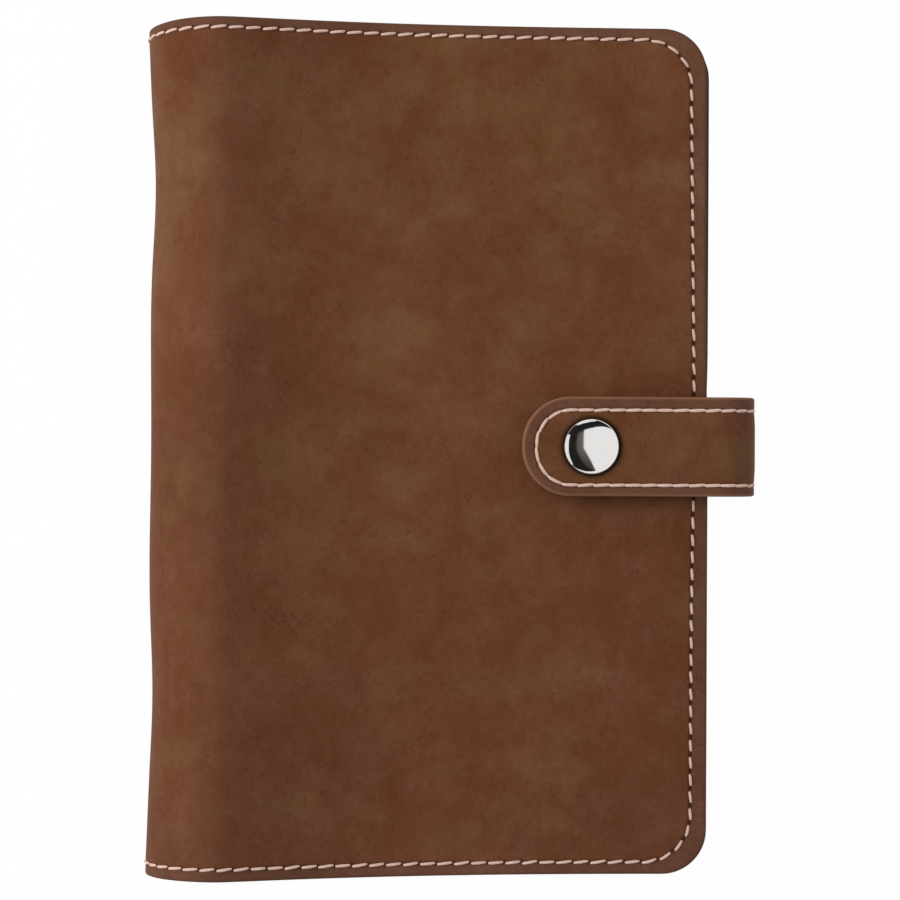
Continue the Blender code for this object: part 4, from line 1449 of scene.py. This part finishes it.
class BINDER_OT_stage(bpy.types.Operator):
    """Set the floor, the light and the camera over the binder"""

    bl_idname = "binder.stage"
    bl_label = "Stage"

    def execute(self, context):
        scene = context.scene
        scene.view_settings.view_transform = "Standard"
        self.lay_floor()
        self.hang_lamp(scene, "soft_lamp", size=0.9, energy=15.5, place=(-0.92, 0.36, 0.90))
        self.hang_lamp(scene, "low_lamp", size=0.8, energy=1.3, place=(0.95, 0.10, 0.25))
        self.light_room(scene)
        self.hang_card()
        lens = bpy.data.cameras.new("camera")
        lens.sensor_width = SENSOR
        lens.lens = LENS
        lens.clip_start = 0.01
        camera = bpy.data.objects.new("camera", lens)
        camera.location = CAMERA_PLACE
        camera.rotation_euler = (0.0, 0.0, CAMERA_TURN)
        scene.collection.objects.link(camera)
        scene.camera = camera
        return {"FINISHED"}

    def lay_floor(self):
        """A white floor that keeps a soft shadow."""
        fresh()
        bpy.ops.mesh.primitive_plane_add(size=FLOOR_SIZE, location=(0.0, 0.0, -FLOOR_DROP))
        floor = take("floor")
        made = Finish("floor_white")
        made.set(Base_Color=(0.9, 0.9, 0.9, 1.0), Roughness=0.9)
        rays = made.node("ShaderNodeLightPath")
        nodes = rays.socket.node.outputs
        seen = Value(made, nodes["Is Camera Ray"]) + Value(made, nodes["Is Glossy Ray"])
        seen = seen + Value(made, nodes["Is Transmission Ray"])
        glow = made.node("ShaderNodeEmission", None, {"Color": (1, 1, 1, 1), "Strength": 1.0})
        shown = made.node("ShaderNodeMixShader", None, {
            0: seen * 0.98, 1: Value(made, made.shader.outputs[0]), 2: glow})
        made.feed(made.tree.nodes["Material Output"].inputs["Surface"], shown)
        floor.data.materials.append(made.material)

    def hang_lamp(self, scene, name, size, energy, place):
        """A square lamp that looks at the binder, unseen in polished metal."""
        lamp = bpy.data.lights.new(name, "AREA")
        lamp.size = size
        lamp.energy = energy
        hung = bpy.data.objects.new(name, lamp)
        hung.location = place
        hung.rotation_euler = (-hung.location).to_track_quat("-Z", "Y").to_euler()
        hung.visible_glossy = False
        scene.collection.objects.link(hung)

    def light_room(self, scene):
        """An even white room that looks brighter than it lights."""
        world = bpy.data.worlds.new("room")
        world.use_nodes = True
        tree = world.node_tree
        fill = tree.nodes["Background"]
        fill.inputs["Color"].default_value = (1.0, 1.0, 1.0, 1.0)
        fill.inputs["Strength"].default_value = ROOM_LIGHT
        seen = tree.nodes.new("ShaderNodeBackground")
        seen.inputs["Color"].default_value = (1.0, 1.0, 1.0, 1.0)
        rays = tree.nodes.new("ShaderNodeLightPath")
        either = tree.nodes.new("ShaderNodeMath")
        either.operation = "MAXIMUM"
        tree.links.new(rays.outputs["Is Camera Ray"], either.inputs[0])
        tree.links.new(rays.outputs["Is Glossy Ray"], either.inputs[1])
        both = tree.nodes.new("ShaderNodeMixShader")
        tree.links.new(either.outputs[0], both.inputs[0])
        tree.links.new(fill.outputs[0], both.inputs[1])
        tree.links.new(seen.outputs[0], both.inputs[2])
        tree.links.new(both.outputs[0], tree.nodes["World Output"].inputs["Surface"])
        scene.world = world

    def hang_card(self):
        """A dark card that only polished metal shows, round the bright window over the strap."""
        window = [(2.6, 1.74), (1.126, 0.895), (0.438, 0.499), (0.184, 0.342), (0.027, 0.282),
                  (0.041, 0.114), (0.045, -0.015), (0.096, -0.106), (0.150, -0.224),
                  (0.217, -0.419), (0.358, -0.846)]
        rim = [(0.304, -0.89), (0.086, -1.0), (-0.37, -1.23), (-1.5, -2.4), (-1.7, -2.1),
               (-0.567, -0.689), (-0.49, -0.485), (-0.391, 0.012), (-0.441, 0.326), (-2.4, 1.4),
               (-1.6, 2.6), (-0.36, 0.862), (-0.235, 0.759), (0.039, 0.741), (0.376, 1.077),
               (0.80, 2.4), (2.6, 2.4)]
        corners = [(x, y, CARD_HEIGHT) for x, y in window + rim]
        mesh = bpy.data.meshes.new("dark_card")
        mesh.from_pydata(corners, [], [range(len(corners))])
        card = add_piece("dark_card", mesh)
        made = Finish("card_black")
        side, up = made.parts(made.solid())
        beside = side + up.maths("MINIMUM", up + 0.047, 0.0) * 0.4
        grey = beside.ease(-0.12, -0.03) * up.ease(0.30, 0.20) * up.ease(-0.85, -0.35)
        low = up.ease(-0.35, 0.0) * 0.07 + 0.05
        made.set(Base_Color=(0.01, 0.01, 0.01, 1.0), Roughness=1.0, Specular_IOR_Level=0.0,
                 Emission_Color=made.shade((1.0, 0.93, 0.88), grey * low + 0.010),
                 Emission_Strength=1.0)
        mesh.materials.append(made.material)
        for ray in ("camera", "diffuse", "transmission", "shadow", "volume_scatter"):
            setattr(card, f"visible_{ray}", False)


class BINDER_PT_panel(bpy.types.Panel):
    """The binder's steps and sizes"""

    bl_idname = "BINDER_PT_panel"
    bl_label = "Leather Ring Binder"
    bl_space_type = "VIEW_3D"
    bl_region_type = "UI"
    bl_category = "Binder"

    def draw(self, context):
        column = self.layout.column()
        for step in STEPS:
            column.operator(step.bl_idname)
        for group in (context.scene.binder_sizes, context.scene.binder_colours):
            for key in group.__annotations__:
                column.prop(group, key)


STEPS = (BINDER_OT_boards, BINDER_OT_front_cover, BINDER_OT_back_cover, BINDER_OT_pockets,
         BINDER_OT_strap, BINDER_OT_sewing, BINDER_OT_snap, BINDER_OT_rings,
         BINDER_OT_mechanism, BINDER_OT_stage)
CLASSES = (BinderSizes, BinderColours, *STEPS, BINDER_PT_panel)


def register():
    """Add the binder's classes and settings."""
    for made in CLASSES:
        bpy.utils.register_class(made)
    bpy.types.Scene.binder_sizes = PointerProperty(type=BinderSizes)
    bpy.types.Scene.binder_colours = PointerProperty(type=BinderColours)


def unregister():
    """Remove the binder's classes and settings."""
    del bpy.types.Scene.binder_colours
    del bpy.types.Scene.binder_sizes
    for made in reversed(CLASSES):
        bpy.utils.unregister_class(made)


def main():
    """Build the dressed binder and its stage."""
    register()
    for step in STEPS:
        group, name = step.bl_idname.split(".")
        getattr(getattr(bpy.ops, group), name)()


if __name__ == "__main__":
    main()
